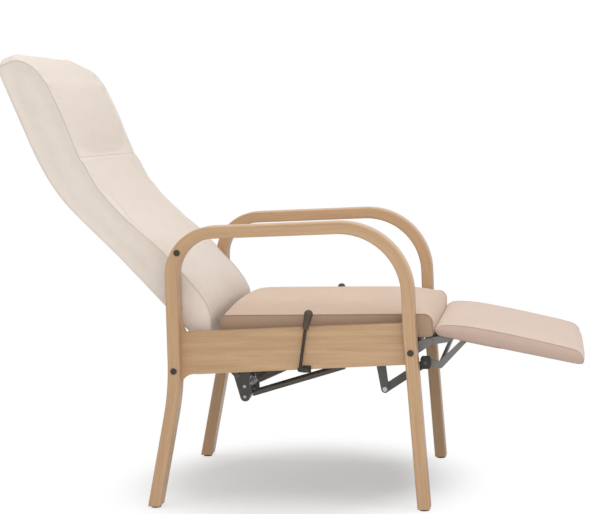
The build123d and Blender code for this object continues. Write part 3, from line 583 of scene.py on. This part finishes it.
def woven_cover(name, colour):
    """Close plain weave: threads over and under each other, slightly slubbed."""
    finish = Finish(name)
    u, v = finish.cloth_place()
    place = finish.place()
    turn = 2 * math.pi / THREAD_PITCH
    slub = finish.noise(finish.vector(u * SLUB_ALONG, v * SLUB_ACROSS, 0)) - 0.5
    other_place = finish.vector(u * SLUB_ACROSS, v * SLUB_ALONG, SLUB_OTHER_PLACE)
    other_slub = finish.noise(other_place) - 0.5
    warp = finish.maths("SINE", u * turn + slub * SLUB_PUSH)
    weft = finish.maths("SINE", v * turn + other_slub * SLUB_PUSH)
    weave = warp * weft
    mottle = finish.speckle(place, per_metre=38, detail=4.0, roughness=0.6)
    cloud = finish.speckle(place, per_metre=6)
    soft = finish.speckle(place, per_metre=24)
    tone = 0.5 + TONE_WEAVE * weave + TONE_MOTTLE * (mottle - 0.5)
    tone += TONE_CLOUD * (cloud - 0.5) + TONE_SLUB * slub
    relief = RELIEF_WEAVE * weave + RELIEF_SLUB * slub + RELIEF_MOTTLE * mottle + RELIEF_SOFT * soft
    finish.set(
        base_color=finish.mix(tone, shaded(colour, WEAVE_DARK), shaded(colour, WEAVE_LIGHT)),
        roughness=0.74 + 0.1 * mottle,
        specular_ior_level=0.28,
        sheen_weight=0.22,
        sheen_roughness=0.45,
        sheen_tint=SHEEN_TINT,
        normal=finish.bump(relief, strength=0.28, distance=0.0005),
    )
    return finish.material


def seam_thread(name, colour):
    """Twisted sewing thread, a shade darker than the cover."""
    finish = Finish(name)
    x, y, z = finish.place()
    twist = finish.maths("SINE", (x + y + z) * TWIST_PER_METRE)
    strand = finish.mix(0.5 + 0.5 * twist, shaded(colour, THREAD_DARK), colour)
    finish.set(base_color=strand, roughness=0.6, specular_ior_level=0.3)
    return finish.material


def coated_steel(name, colour, roughness, coat, metal=0.0):
    """Powder or lacquer coat on steel, with a fine orange peel and rubbed patches."""
    finish = Finish(name)
    place = finish.place()
    peel = finish.speckle(place, per_metre=900)
    rub = finish.speckle(place, per_metre=70, detail=4.0, roughness=0.65)
    worn = finish.between(rub, 0.60, 0.78)
    finish.set(
        base_color=finish.mix(worn * 0.5, colour, shaded(colour, 1.9, lift=0.01)),
        metallic=metal,
        roughness=roughness + 0.14 * peel - 0.06 * worn,
        specular_ior_level=0.5,
        coat_weight=coat,
        coat_roughness=0.3,
        normal=finish.bump(peel, strength=0.12, distance=0.0002),
    )
    return finish.material


def plated_steel(name, colour, roughness, lines):
    """Bare or plated steel with fine drawing lines."""
    finish = Finish(name)
    x, y, z = finish.place()
    scratch = finish.noise(finish.vector(x * lines, y * 60, z * lines), 3.0, 0.6)
    cloud = finish.speckle((x, y, z), per_metre=45, detail=3.0, roughness=0.6)
    finish.set(
        base_color=finish.mix(finish.between(cloud, 0.3, 0.7), shaded(colour, 0.72), colour),
        metallic=1.0,
        roughness=roughness + 0.18 * scratch,
        normal=finish.bump(scratch, strength=0.08, distance=0.0001),
    )
    return finish.material


def strut_steel(name, rear, front):
    """A strut's cylinder: black lacquer, with a bare zinc eye and neck at its rear end."""
    finish = Finish(name)
    x, y, z = finish.place()
    run_x = front[0] - rear[0]
    run_z = front[1] - rear[1]
    length = math.hypot(run_x, run_z)
    along = (x - rear[0] - FEET_MIDDLE_X) * (run_x / length) + (z - rear[1]) * (run_z / length)
    bare = 1 - finish.between(along, STRUT_NECK, STRUT_NECK + NECK_EDGE)
    fine = finish.speckle((x, y, z), per_metre=700)
    rub = finish.speckle((x, y, z), per_metre=60, detail=4.0, roughness=0.65)
    worn = finish.between(rub, 0.58, 0.8)
    lacquer = finish.mix(worn * 0.5, STRUT_LACQUER, STRUT_WORN)
    finish.set(
        base_color=finish.mix(bare, lacquer, BARE_ZINC),
        metallic=bare,
        roughness=0.30 + 0.12 * fine,
        specular_ior_level=0.5,
        coat_weight=0.3 * (1 - bare),
        coat_roughness=0.2,
        normal=finish.bump(fine, strength=0.1, distance=0.0001),
    )
    return finish.material


def moulded_plastic(name, colour, roughness, grain):
    """Moulded plastic or rubber with a fine spark texture."""
    finish = Finish(name)
    place = finish.place()
    spark = finish.speckle(place, per_metre=grain, roughness=0.6)
    dust = finish.speckle(place, per_metre=55, detail=4.0, roughness=0.6)
    dusty = finish.between(dust, 0.45, 0.8)
    finish.set(
        base_color=finish.mix(dusty * 0.5, colour, shaded(colour, 1.6, lift=0.012)),
        roughness=roughness + 0.15 * spark,
        specular_ior_level=0.45,
        normal=finish.bump(spark, strength=0.2, distance=0.0002),
    )
    return finish.material


def non_woven(name, colour):
    """Bonded lining cloth with its grid of small pressed dots."""
    finish = Finish(name)
    u, v = finish.cloth_place()
    turn = 2 * math.pi / DOT_PITCH
    dots = finish.maths("SINE", u * turn) * finish.maths("SINE", v * turn)
    fibre = finish.noise(finish.vector(u * 700, v * 700, 0), 4.0, 0.7)
    tone = 0.35 * fibre + 0.3 * finish.between(dots, 0.4, 0.9)
    finish.set(
        base_color=finish.mix(tone, colour, shaded(colour, 1.9, lift=0.01)),
        roughness=0.85,
        specular_ior_level=0.2,
        normal=finish.bump(fibre - dots * 0.6, strength=0.35, distance=0.0004),
    )
    return finish.material


def give(piece, material):
    """Puts one material on a piece."""
    piece.data.materials.clear()
    piece.data.materials.append(material)


# Finishes of the CAD nodes
board_beech = straight_beech("rail_beech", "X")
cross_beech = straight_beech("cross_rail_beech", "Y")
frame_beech = bent_beech()
bronze = coated_steel("bronzed_steel", BRONZE, roughness=0.36, coat=0.2, metal=0.6)
lever_steel = coated_steel("lever_steel", LEVER_BROWN, roughness=0.42, coat=0.10, metal=0.2)
black_steel = coated_steel("black_steel", BLACK_COAT, roughness=0.36, coat=0.3)
hinge_grey = coated_steel("grey_bracket_steel", BRACKET_GREY, roughness=0.36, coat=0.1, metal=0.5)
beige_paint = coated_steel("beige_channel_paint", CHANNEL_BEIGE, roughness=0.5, coat=0.1)
board_paint = coated_steel("painted_back_board", BOARD_BROWN, roughness=0.5, coat=0.0)
zinc = plated_steel("zinc_plated_steel", PLATED_ZINC, roughness=0.30, lines=900)
polished = plated_steel("polished_rod_steel", POLISHED_STEEL, roughness=0.12, lines=1400)
grip_plastic = moulded_plastic("grip_plastic", GRIP_BROWN, roughness=0.42, grain=1400)
nylon = moulded_plastic("glide_nylon", GLIDE_BLACK, roughness=0.45, grain=1200)
pale_nylon = moulded_plastic("bush_nylon", BUSH_CREAM, roughness=0.4, grain=900)
rubber = moulded_plastic("buffer_rubber", RUBBER_BLACK, roughness=0.6, grain=700)

cad_finishes = {
    "side_frame": frame_beech,
    "side_rail": board_beech,
    "seat_batten": board_beech,
    "rear_cross_rail": cross_beech,
    "middle_cross_rail": cross_beech,
    "rail_dowels": board_beech,
    "frame_bolts": bronze,
    "lever_plates": lever_steel,
    "lever_pins": bronze,
    "release_lever": lever_steel,
    "lever_grip": grip_plastic,
    "front_cross_tube": black_steel,
    "buffer_strap": black_steel,
    "buffer_arm": black_steel,
    "spring_lever": black_steel,
    "clevis_pins": zinc,
    "clevis": black_steel,
    "gas_cylinder": strut_steel("gas_spring_steel", GAS_REAR, GAS_FRONT),
    "damper_cylinder": strut_steel("damper_steel", DAMPER_REAR, DAMPER_FRONT),
    "gas_rod": polished,
    "damper_rod": polished,
    "foot_glides": nylon,
    "stay_rollers": nylon,
    "pivot_bushes": pale_nylon,
    "buffer_blocks": rubber,
    "footrest_hinge": hinge_grey,
    "footrest_stay": hinge_grey,
    "stay_bar": hinge_grey,
    "stay_channels": beige_paint,
    "stay_pivot_pins": black_steel,
    "back_board": board_paint,
    "back_arm": black_steel,
    "back_pivot_plate": black_steel,
}
for node_name, node in nodes.items():
    fitting = [finish for words, finish in cad_finishes.items() if words in node_name]
    give(node, fitting[0] if fitting else zinc)

# Finishes of the soft pieces
seat_cover = woven_cover("seat_cover", SEAT_FABRIC)
# Side panels of the seat in a darker copy of its cloth: painted shade
seat_side_painted_shade = woven_cover("seat_side_painted_shade", SEAT_SIDE_SHADED_FABRIC)
back_cover = woven_cover("back_cover_cloth", BACK_FABRIC)
# Side panels of the back in a lighter copy of its cloth: painted light
back_side_painted_light = woven_cover("back_side_painted_light", BACK_SIDE_LIT_FABRIC)
footrest_cover = woven_cover("footrest_cover", FOOTREST_FABRIC)
# Side panels of the footrest in a darker copy of its cloth: painted shade
footrest_side_painted_shade = woven_cover("footrest_side_painted_shade", FOOTREST_SIDE_SHADED_FABRIC)
lining = non_woven("lining_cloth", DARK_LINING)


def box_grid(stations):
    """The surface of a box split at three lists of shares from 0 to 1.

    Returns each corner's shares, the faces, the face sides and the index of each corner."""
    counts = [len(list_of_shares) - 1 for list_of_shares in stations]
    index = {}
    shares = []
    faces = []
    sides = []

    def corner(*steps):
        if steps not in index:
            index[steps] = len(shares)
            shares.append([stations[axis][step] for axis, step in enumerate(steps)])
        return index[steps]

    for axis in range(3):
        first, second = [other for other in range(3) if other != axis]
        for end in (0, counts[axis]):
            for i in range(counts[first]):
                for j in range(counts[second]):
                    loop = []
                    for di, dj in ((0, 0), (1, 0), (1, 1), (0, 1)):
                        steps = [0, 0, 0]
                        steps[axis] = end
                        steps[first] = i + di
                        steps[second] = j + dj
                        loop.append(corner(*steps))
                    outward = (end > 0) == (axis != ACROSS)
                    faces.append(loop if outward else loop[::-1])
                    sides.append((axis, end > 0))
    return shares, faces, sides, index, counts


def even(count):
    """Shares from 0 to 1 in equal steps."""
    return [step / count for step in range(count + 1)]


def round_corner(u, v, size_u, size_v, radii):
    """Moves a point of a rectangle so that its corners are round, and gives the outward direction.

    radii are for the corners at (0, 0), (size_u, 0), (size_u, size_v) and (0, size_v)."""
    near_u = u < size_u / 2
    near_v = v < size_v / 2
    radius = radii[(0 if near_u else 1) if near_v else (3 if near_u else 2)]
    centre_u = radius if near_u else size_u - radius
    centre_v = radius if near_v else size_v - radius
    turn_u = -1 if near_u else 1
    turn_v = -1 if near_v else 1
    out_u = (u - centre_u) * turn_u / radius
    out_v = (v - centre_v) * turn_v / radius
    if out_u > 0 and out_v > 0:
        disc_u = out_u * math.sqrt(1 - out_v * out_v / 2)
        disc_v = out_v * math.sqrt(1 - out_u * out_u / 2)
        length = max(math.hypot(disc_u, disc_v), TINY)
        return (
            centre_u + turn_u * radius * disc_u,
            centre_v + turn_v * radius * disc_v,
            turn_u * disc_u / length,
            turn_v * disc_v / length,
        )
    edges = {
        (0, -1): v,
        (0, 1): size_v - v,
        (-1, 0): u,
        (1, 0): size_u - u,
    }
    direction = min(edges, key=edges.get)
    return u, v, direction[0], direction[1]


class Pad:
    """A sewn pad: side panels, and one panel that wraps over its top and its ends."""

    def __init__(self, name, body, finishes, stations, form):
        shares, faces, sides, index, counts = box_grid(stations)
        self.index = index
        self.counts = counts
        self.rest = [Vector(form(*share)) for share in shares]
        mesh = bpy.data.meshes.new(name)
        mesh.from_pydata(self.rest, [], faces)
        mesh.update()
        for finish in finishes:
            mesh.materials.append(finish)
        panel = mesh.uv_layers.new(name=PANEL_MAP)
        for polygon, (axis, far_end) in zip(mesh.polygons, sides):
            polygon.use_smooth = True
            if axis == ACROSS:
                polygon.material_index = SIDE_SLOT
            elif axis == UPWARDS and not far_end:
                polygon.material_index = LINING_SLOT
            else:
                polygon.material_index = TOP_SLOT
            for loop in polygon.loop_indices:
                place = self.rest[mesh.loops[loop].vertex_index]
                if axis == ACROSS:
                    panel.data[loop].uv = (place.x, place.z)
                elif axis == ALONG:
                    panel.data[loop].uv = (place.z, place.y)
                else:
                    panel.data[loop].uv = (self.run(place), place.y)
        self.piece = bpy.data.objects.new(name, mesh)
        bpy.context.scene.collection.objects.link(self.piece)
        self.body = body

    @staticmethod
    def run(place):
        """A length along the pad that suits a slanted one too."""
        return place.x * PANEL_RUN_X + place.z * PANEL_RUN_Z

    def side_edge(self, side):
        """The corners along the front end and the top of one side panel."""
        along = self.counts[ALONG]
        up = self.counts[UPWARDS]
        across = self.counts[ACROSS] if side > 0 else 0
        end = [self.index[(along, across, step)] for step in range(up)]
        top = [self.index[(step, across, up)] for step in range(along, -1, -1)]
        return end + top

    def stuff(self, held, pressure, cap, eased=None):
        """Blows the cover up like a filled one, keeping the held corners in place.

        Eased corners move by a share of the cap only, so that a held part has no step beside it."""
        group = self.piece.vertex_groups.new(name="held")
        group.add(sorted(held), 1.0, "REPLACE")
        filling = self.piece.modifiers.new("filling", "CLOTH")
        settings = filling.settings
        settings.quality = COVER_QUALITY
        settings.mass = COVER_MASS
        settings.tension_stiffness = COVER_STRETCH
        settings.compression_stiffness = COVER_STRETCH
        settings.shear_stiffness = COVER_SHEAR
        settings.bending_stiffness = COVER_BENDING
        settings.use_pressure = True
        settings.uniform_pressure_force = pressure
        settings.vertex_group_mass = group.name
        settings.effector_weights.gravity = 0
        filling.point_cache.frame_start = 1
        filling.point_cache.frame_end = FILLING_FRAMES
        scene = bpy.context.scene
        for step in range(1, FILLING_FRAMES + 1):
            scene.frame_set(step)
        shown = self.piece.evaluated_get(bpy.context.evaluated_depsgraph_get())
        blown = [vertex.co.copy() for vertex in shown.data.vertices]
        self.piece.modifiers.remove(filling)
        for vertex, place, rest in zip(self.piece.data.vertices, blown, self.rest):
            share = 1.0 if eased is None else eased[vertex.index]
            shift = (place - rest) * share
            if shift.length > cap * share:
                shift = shift * (cap * share / shift.length)
            vertex.co = rest + shift
        scene.frame_set(1)
        self.piece.vertex_groups.clear()

    def smooth(self):
        """Rounds the mesh by one level, which takes effect when the pad settles."""
        rounder = self.piece.modifiers.new("round", "SUBSURF")
        rounder.levels = 1
        rounder.render_levels = 1

    def settle(self):
        """Applies what is left of the modifiers."""
        graph = bpy.context.evaluated_depsgraph_get()
        mesh = bpy.data.meshes.new_from_object(self.piece.evaluated_get(graph))
        self.piece.modifiers.clear()
        self.piece.data = mesh

    def points(self, indices):
        """The places of some corners, as the filling has left them."""
        return [self.piece.data.vertices[index].co.copy() for index in indices]


def tube(name, places, radius, body, material):
    """A thin round line of thread through a row of places."""
    curve = bpy.data.curves.new(name, "CURVE")
    curve.dimensions = "3D"
    curve.bevel_depth = radius
    curve.bevel_resolution = SEAM_ROUNDNESS
    spline = curve.splines.new("POLY")
    spline.points.add(len(places) - 1)
    for point, place in zip(spline.points, places):
        point.co = (*place, 1)
    curve.use_fill_caps = True
    holder = bpy.data.objects.new(name, curve)
    mesh = bpy.data.meshes.new_from_object(holder)
    bpy.data.objects.remove(holder)
    piece = bpy.data.objects.new(name, mesh)
    bpy.context.scene.collection.objects.link(piece)
    for polygon in mesh.polygons:
        polygon.use_smooth = True
    give(piece, material)
    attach(piece, body)
    return piece


def resample(places, step):
    """Even steps along a line of places."""
    lengths = [0.0]
    for first, second in zip(places, places[1:]):
        lengths.append(lengths[-1] + (second - first).length)
    count = max(2, int(round(lengths[-1] / step)))
    result = []
    at = 0
    for i in range(count + 1):
        goal = lengths[-1] * i / count
        while at < len(places) - 2 and lengths[at + 1] < goal:
            at += 1
        span = max(lengths[at + 1] - lengths[at], TINY)
        result.append(places[at].lerp(places[at + 1], (goal - lengths[at]) / span))
    return result


def seam(name, pad, corners, thread):
    """A sewn seam along a row of a pad's corners."""
    return tube(name, resample(pad.points(corners), SEAM_STEP), SEAM_RADIUS, pad.body, thread)


def read_line(line, place, column=1):
    """The value at a place in a table of places and values, on a smooth curve through its rows."""
    if place <= line[0][0]:
        return line[0][column]
    if place >= line[-1][0]:
        return line[-1][column]
    step = next(i for i in range(len(line) - 1) if place <= line[i + 1][0])

    def slope(row):
        before = max(row - 1, 0)
        after = min(row + 1, len(line) - 1)
        return (line[after][column] - line[before][column]) / (line[after][0] - line[before][0])

    low = line[step]
    high = line[step + 1]
    span = high[0] - low[0]
    share = (place - low[0]) / span
    rest = 1 - share
    return (
        low[column] * (1 + 2 * share) * rest * rest
        + high[column] * (3 - 2 * share) * share * share
        + span * share * rest * (slope(step) * rest - slope(step + 1) * share)
    )


def domed(across, power=PLAIN_DOME):
    """1 in the middle of the width and 0 at both sides."""
    return 1 - abs(across) ** power


def side_bulge(across, a, c, bulge):
    """How far a side panel stands out, between its seams."""
    if abs(across) < 1:
        return 0.0
    return bulge * math.sin(math.pi * c) * min(1.0, min(a, 1 - a) / SIDE_RISE_SHARE) * across


def end_bulge(across, out, c, bulge):
    """How far an end stands out: most in the middle of its width and height."""
    height = min(1, END_LOW_SHARE + END_HIGH_SHARE * c)
    return bulge * domed(across, END_DOME) * max(out, 0.0) * math.sin(math.pi * height)


def held_corners(pad):
    """The seams, the underside and the rear end of a pad, which the filling doesn't move."""
    held = set()
    along, across, up = pad.counts
    for (i, j, k), index in pad.index.items():
        on_seam = j in (0, across) and (i in (0, along) or k in (0, up))
        if k == 0 or i == 0 or on_seam:
            held.add(index)
    return held


# Seat pad
SEAT_LENGTH = SEAT_FRONT - SEAT_REAR
SEAT_HEIGHT = SEAT_SEAM - SEAT_LOW


def seat_form(a, b, c):
    """A corner's place from its shares of the seat pad's length, width and height."""
    across = 2 * b - 1
    rear_low, front_low, front_top, rear_top = SEAT_CORNERS
    front_top += SEAT_FRONT_ROUND * domed(across)
    u, v, out_x, out_z = round_corner(
        a * SEAT_LENGTH,
        c * SEAT_HEIGHT,
        SEAT_LENGTH,
        SEAT_HEIGHT,
        (rear_low, front_low, front_top, rear_top),
    )
    x = SEAT_REAR + u
    rise = SEAT_CROWN * domed(across) * max(out_z, 0.0) * read_line(SEAT_CROWN_LINE, x)
    x += end_bulge(across, out_x, c, SEAT_FRONT_BULGE)
    y = SEAT_HALF_WIDTH * across + side_bulge(across, a, c, SEAT_SIDE_BULGE)
    return x + FEET_MIDDLE_X, y, SEAT_LOW + v + rise


seat_pad = Pad(
    "seat_upholstery",
    "chair_frame",
    (seat_cover, seat_side_painted_shade, lining),
    [even(count) for count in SEAT_GRID],
    seat_form,
)
seat_pad.stuff(held_corners(seat_pad), *SEAT_FILLING)


# Footrest pad
FOOTREST_LENGTH = FOOTREST_END - FOOTREST_START


def footrest_form(a, b, c):
    """A corner's place from its shares of the footrest pad's length, width and height."""
    across = 2 * b - 1
    u, v, out_along, out_up = round_corner(
        a * FOOTREST_LENGTH, c * FOOTREST_HEIGHT, FOOTREST_LENGTH, FOOTREST_HEIGHT, FOOTREST_CORNERS
    )
    along = FOOTREST_START + u
    rise = read_line(FOOTREST_LINE, along, 2) * domed(across) * max(out_up, 0.0)
    half_width = FOOTREST_HALF_WIDTH - FOOTREST_TUCK * c**FOOTREST_TUCK_POWER
    y = half_width * across + side_bulge(across, a, c, FOOTREST_SIDE_BULGE)
    up = FOOTREST_LOW + v * read_line(FOOTREST_LINE, along) / FOOTREST_HEIGHT + rise
    if c == 0 and CHANNEL_START < along < CHANNEL_END and CHANNEL_NEAR < abs(y) < CHANNEL_FAR:
        up = CHANNEL_TOP
    along += end_bulge(across, out_along, c, FOOTREST_END_BULGE)
    along -= FOOTREST_INNER_BULGE * max(-out_along, 0.0) * min(1.0, 2 * c)
    x = HINGE.x + along * math.cos(FOOTREST_DROP) + up * math.sin(FOOTREST_DROP)
    z = HINGE.z - along * math.sin(FOOTREST_DROP) + up * math.cos(FOOTREST_DROP)
    return x + FEET_MIDDLE_X, y, z


def with_walls(shares, places):
    """Adds two stations close together at each place, so that a wall can stand there."""
    added = []
    for place, length in places:
        added += [place - WALL_STEP / length, place + WALL_STEP / length]
    kept = [
        share for share in shares if all(abs(share - other) > STATION_GAP for other in added)
    ]
    return sorted(kept + added)


channel_stations = [
    ((place - FOOTREST_START) / FOOTREST_LENGTH, FOOTREST_LENGTH)
    for place in (CHANNEL_START, CHANNEL_END)
]
channel_rows = [
    (0.5 + turn * place / (2 * FOOTREST_HALF_WIDTH), 2 * FOOTREST_HALF_WIDTH)
    for turn in (-1, 1)
    for place in (CHANNEL_NEAR, CHANNEL_FAR)
]
footrest_pad = Pad(
    "footrest_upholstery",
    "footrest",
    (footrest_cover, footrest_side_painted_shade, lining),
    (
        with_walls(even(FOOTREST_GRID[ALONG]), channel_stations),
        with_walls(even(FOOTREST_GRID[ACROSS]), channel_rows),
        even(FOOTREST_GRID[UPWARDS]),
    ),
    footrest_form,
)
footrest_pad.stuff(held_corners(footrest_pad), *FOOTREST_FILLING)


# Back pad: its length is measured along the bent rear face
BEND_TANGENT = BACK_BEND_RADIUS * math.tan(BACK_BEND / 2)
BEND_START = BACK_BEND_HEIGHT - BEND_TANGENT
BEND_END = BEND_START + BACK_BEND_RADIUS * BACK_BEND
BACK_TOP = BEND_END + BACK_HEAD - BEND_TANGENT + BACK_RISE
BACK_LENGTH = BACK_TOP - BACK_START
CREASE = (BEND_START + BEND_END) / 2


def back_place(along, out):
    """From a length along the rear face and a distance before the pivot's line to the back's X, Z."""
    turn = min(max(along - BEND_START, 0) / BACK_BEND_RADIUS, BACK_BEND)
    reach = BACK_BEND_RADIUS - (out - BACK_FACE)
    straight = min(along, BEND_START)
    beyond = max(along - BEND_END, 0)
    x = BACK_FACE + BACK_BEND_RADIUS - reach * math.cos(turn) + beyond * math.sin(turn)
    z = straight + reach * math.sin(turn) + beyond * math.cos(turn)
    return x, z


def back_to_chair(x, y, z):
    """From the back's own frame to the chair's, with the back at rest."""
    cos_lean = math.cos(BACK_LEAN)
    sin_lean = math.sin(BACK_LEAN)
    return (
        PIVOT.x + x * cos_lean - z * sin_lean + FEET_MIDDLE_X,
        y,
        PIVOT.z + x * sin_lean + z * cos_lean,
    )


def back_form(a, b, c):
    """A corner's place from its shares of the back pad's length, width and depth."""
    across = 2 * b - 1
    u, v, out_along, out_front = round_corner(
        a * BACK_LENGTH, c * BACK_DEPTH, BACK_LENGTH, BACK_DEPTH, BACK_CORNERS
    )
    along = BACK_START + u
    fullness = domed(across, BACK_DOME)
    depth = v * read_line(BACK_LINE, along) / BACK_DEPTH
    depth += read_line(BACK_LINE, along, 2) * fullness * max(out_front, 0.0)
    if out_front > CREASE_FACING:
        dip = math.exp(-(((along - CREASE) / CREASE_WIDE) ** 2))
        depth -= CREASE_DEEP * dip * (CREASE_SIDE_SHARE + CREASE_MIDDLE_SHARE * fullness)
    depth -= read_line(BACK_REAR_LINE, along) * (1 - c)
    along += BACK_END_BULGE * domed(across, HEAD_DOME) * max(out_along, 0.0)
    x, z = back_place(along, BACK_REAR + depth)
    y = BACK_HALF_WIDTH * across + side_bulge(across, a, c, BACK_SIDE_BULGE)
    return back_to_chair(x, y, z)


back_pad = Pad(
    "back_upholstery",
    "back",
    (back_cover, back_side_painted_light, back_cover),
    [even(count) for count in BACK_GRID],
    back_form,
)
back_held = held_corners(back_pad)
back_eased = {}
for (i, j, k), index in back_pad.index.items():
    here = BACK_START + i / BACK_GRID[ALONG] * BACK_LENGTH
    on_front = k == BACK_GRID[UPWARDS]
    if here < BACK_HELD_BELOW or (on_front and abs(here - CREASE) < BACK_HELD_BY_CREASE):
        back_held.add(index)
    share = min(1.0, max(0.0, (here - BACK_HELD_BELOW) / BACK_EASED_OVER))
    back_eased[index] = share * share * (3 - 2 * share)
back_pad.stuff(back_held, *BACK_FILLING, eased=back_eased)

seat_thread = seam_thread("seat_thread", SEAT_THREAD)
back_thread = seam_thread("back_thread", BACK_THREAD)
footrest_thread = seam_thread("footrest_thread", FOOTREST_THREAD)
for pad, word, thread in (
    (seat_pad, "seat", seat_thread),
    (footrest_pad, "footrest", footrest_thread),
    (back_pad, "back", back_thread),
):
    pad.smooth()
    for side, side_word in ((-1, "right"), (1, "left")):
        seam(f"{word}_{side_word}_seam", pad, pad.side_edge(side), thread)
crease_step = round((CREASE - BACK_START) / BACK_LENGTH * BACK_GRID[ALONG])
crease_corners = [
    back_pad.index[(crease_step, j, BACK_GRID[UPWARDS])] for j in range(BACK_GRID[ACROSS] + 1)
]
seam("head_crease_seam", back_pad, crease_corners, back_thread)

for pad in (seat_pad, footrest_pad, back_pad):
    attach(pad.piece, pad.body)
    pad.settle()
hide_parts("seat_cushion", "seat_board")
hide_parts("footrest_cushion", "footrest_board")
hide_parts("back_cushion", "head_cushion", "back_cover")


# Floor, light and camera
def make_floor():
    """A pale floor that keeps the chair's shadow and fades to plain white further out."""
    finish = Finish("pale_floor")
    x, y, z = finish.place()
    grain = finish.speckle((x, y, z), per_metre=30, detail=3.0, roughness=0.6)
    finish.set(
        base_color=finish.mix(grain, FLOOR_COLOUR, shaded(FLOOR_COLOUR, FLOOR_SHADE)),
        roughness=0.9,
        specular_ior_level=0.1,
    )
    glow = finish.node("ShaderNodeEmission", values={"Color": WHITE, "Strength": 1.0})
    seen = Value(finish, finish.node("ShaderNodeLightPath").outputs["Is Camera Ray"])
    off_x = (x - SHADOW_MIDDLE_X) / SHADOW_HALF_LONG
    off_y = y / SHADOW_HALF_WIDE
    fade = finish.between(finish.maths("SQRT", off_x * off_x + off_y * off_y), FADE_START, FADE_END)
    fade = FLOOR_GLOW + (1 - FLOOR_GLOW) * fade
    mixed = finish.node(
        "ShaderNodeMixShader",
        values={0: seen * fade, 1: finish.shader.outputs[0], 2: glow.outputs[0]},
    )
    finish.output(mixed.outputs[0])
    mesh = bpy.data.meshes.new("floor")
    corners = [(-FLOOR_REACH, -FLOOR_REACH, 0), (FLOOR_REACH, -FLOOR_REACH, 0)]
    corners += [(FLOOR_REACH, FLOOR_REACH, 0), (-FLOOR_REACH, FLOOR_REACH, 0)]
    mesh.from_pydata(corners, [], [(0, 1, 2, 3)])
    floor = bpy.data.objects.new("floor", mesh)
    bpy.context.scene.collection.objects.link(floor)
    give(floor, finish.material)


def make_world():
    """A pale, even surround for light, seen as plain white."""
    world = bpy.data.worlds.new("studio")
    bpy.context.scene.world = world
    world.use_nodes = True
    surround = Finish.of_tree(world.node_tree)
    path = surround.node("ShaderNodeLightPath").outputs
    camera_ray = Value(surround, path["Is Camera Ray"])
    glossy_ray = Value(surround, path["Is Glossy Ray"])
    seen = surround.maths("MAXIMUM", camera_ray, glossy_ray)
    seen = surround.maths("MAXIMUM", seen, Value(surround, path["Is Transmission Ray"]))
    lit = surround.node("ShaderNodeBackground", values={"Color": WHITE, "Strength": WORLD_LIGHT})
    shown = surround.node("ShaderNodeBackground", values={"Color": WHITE, "Strength": 1.0})
    choice = surround.node(
        "ShaderNodeMixShader", values={0: seen, 1: lit.outputs[0], 2: shown.outputs[0]}
    )
    surround.node("ShaderNodeOutputWorld", values={"Surface": choice.outputs[0]})


def make_lamp(name, place, target, size, power):
    """A large square lamp aimed at a point."""
    lamp = bpy.data.lights.new(name, "AREA")
    lamp.shape = "SQUARE"
    lamp.size = size
    lamp.energy = power
    holder = bpy.data.objects.new(name, lamp)
    bpy.context.scene.collection.objects.link(holder)
    holder.location = place
    holder.rotation_mode = "QUATERNION"
    holder.rotation_quaternion = (Vector(target) - Vector(place)).to_track_quat("-Z", "Y")


def make_camera():
    """The photograph's own view, in perspective."""
    forward = Vector(
        (
            -math.sin(CAMERA_YAW) * math.cos(CAMERA_PITCH),
            math.cos(CAMERA_YAW) * math.cos(CAMERA_PITCH),
            -math.sin(CAMERA_PITCH),
        )
    )
    right = forward.cross(Vector((0, 0, 1))).normalized()
    up = right.cross(forward)
    level_right = right * math.cos(CAMERA_ROLL) + up * math.sin(CAMERA_ROLL)
    level_up = up * math.cos(CAMERA_ROLL) - right * math.sin(CAMERA_ROLL)
    lens = bpy.data.cameras.new("camera")
    lens.sensor_width = SENSOR_WIDTH
    lens.lens = CAMERA_FOCUS / PHOTO_WIDTH * SENSOR_WIDTH
    holder = bpy.data.objects.new("camera", lens)
    bpy.context.scene.collection.objects.link(holder)
    turn = Matrix((level_right, level_up, -forward)).transposed().to_4x4()
    holder.matrix_world = Matrix.Translation(CAMERA_PLACE + Vector((FEET_MIDDLE_X, 0, 0))) @ turn
    bpy.context.scene.camera = holder


make_floor()
make_world()
for lamp in LAMPS:
    make_lamp(*lamp)
make_camera()
bpy.context.scene.view_settings.view_transform = "Standard"
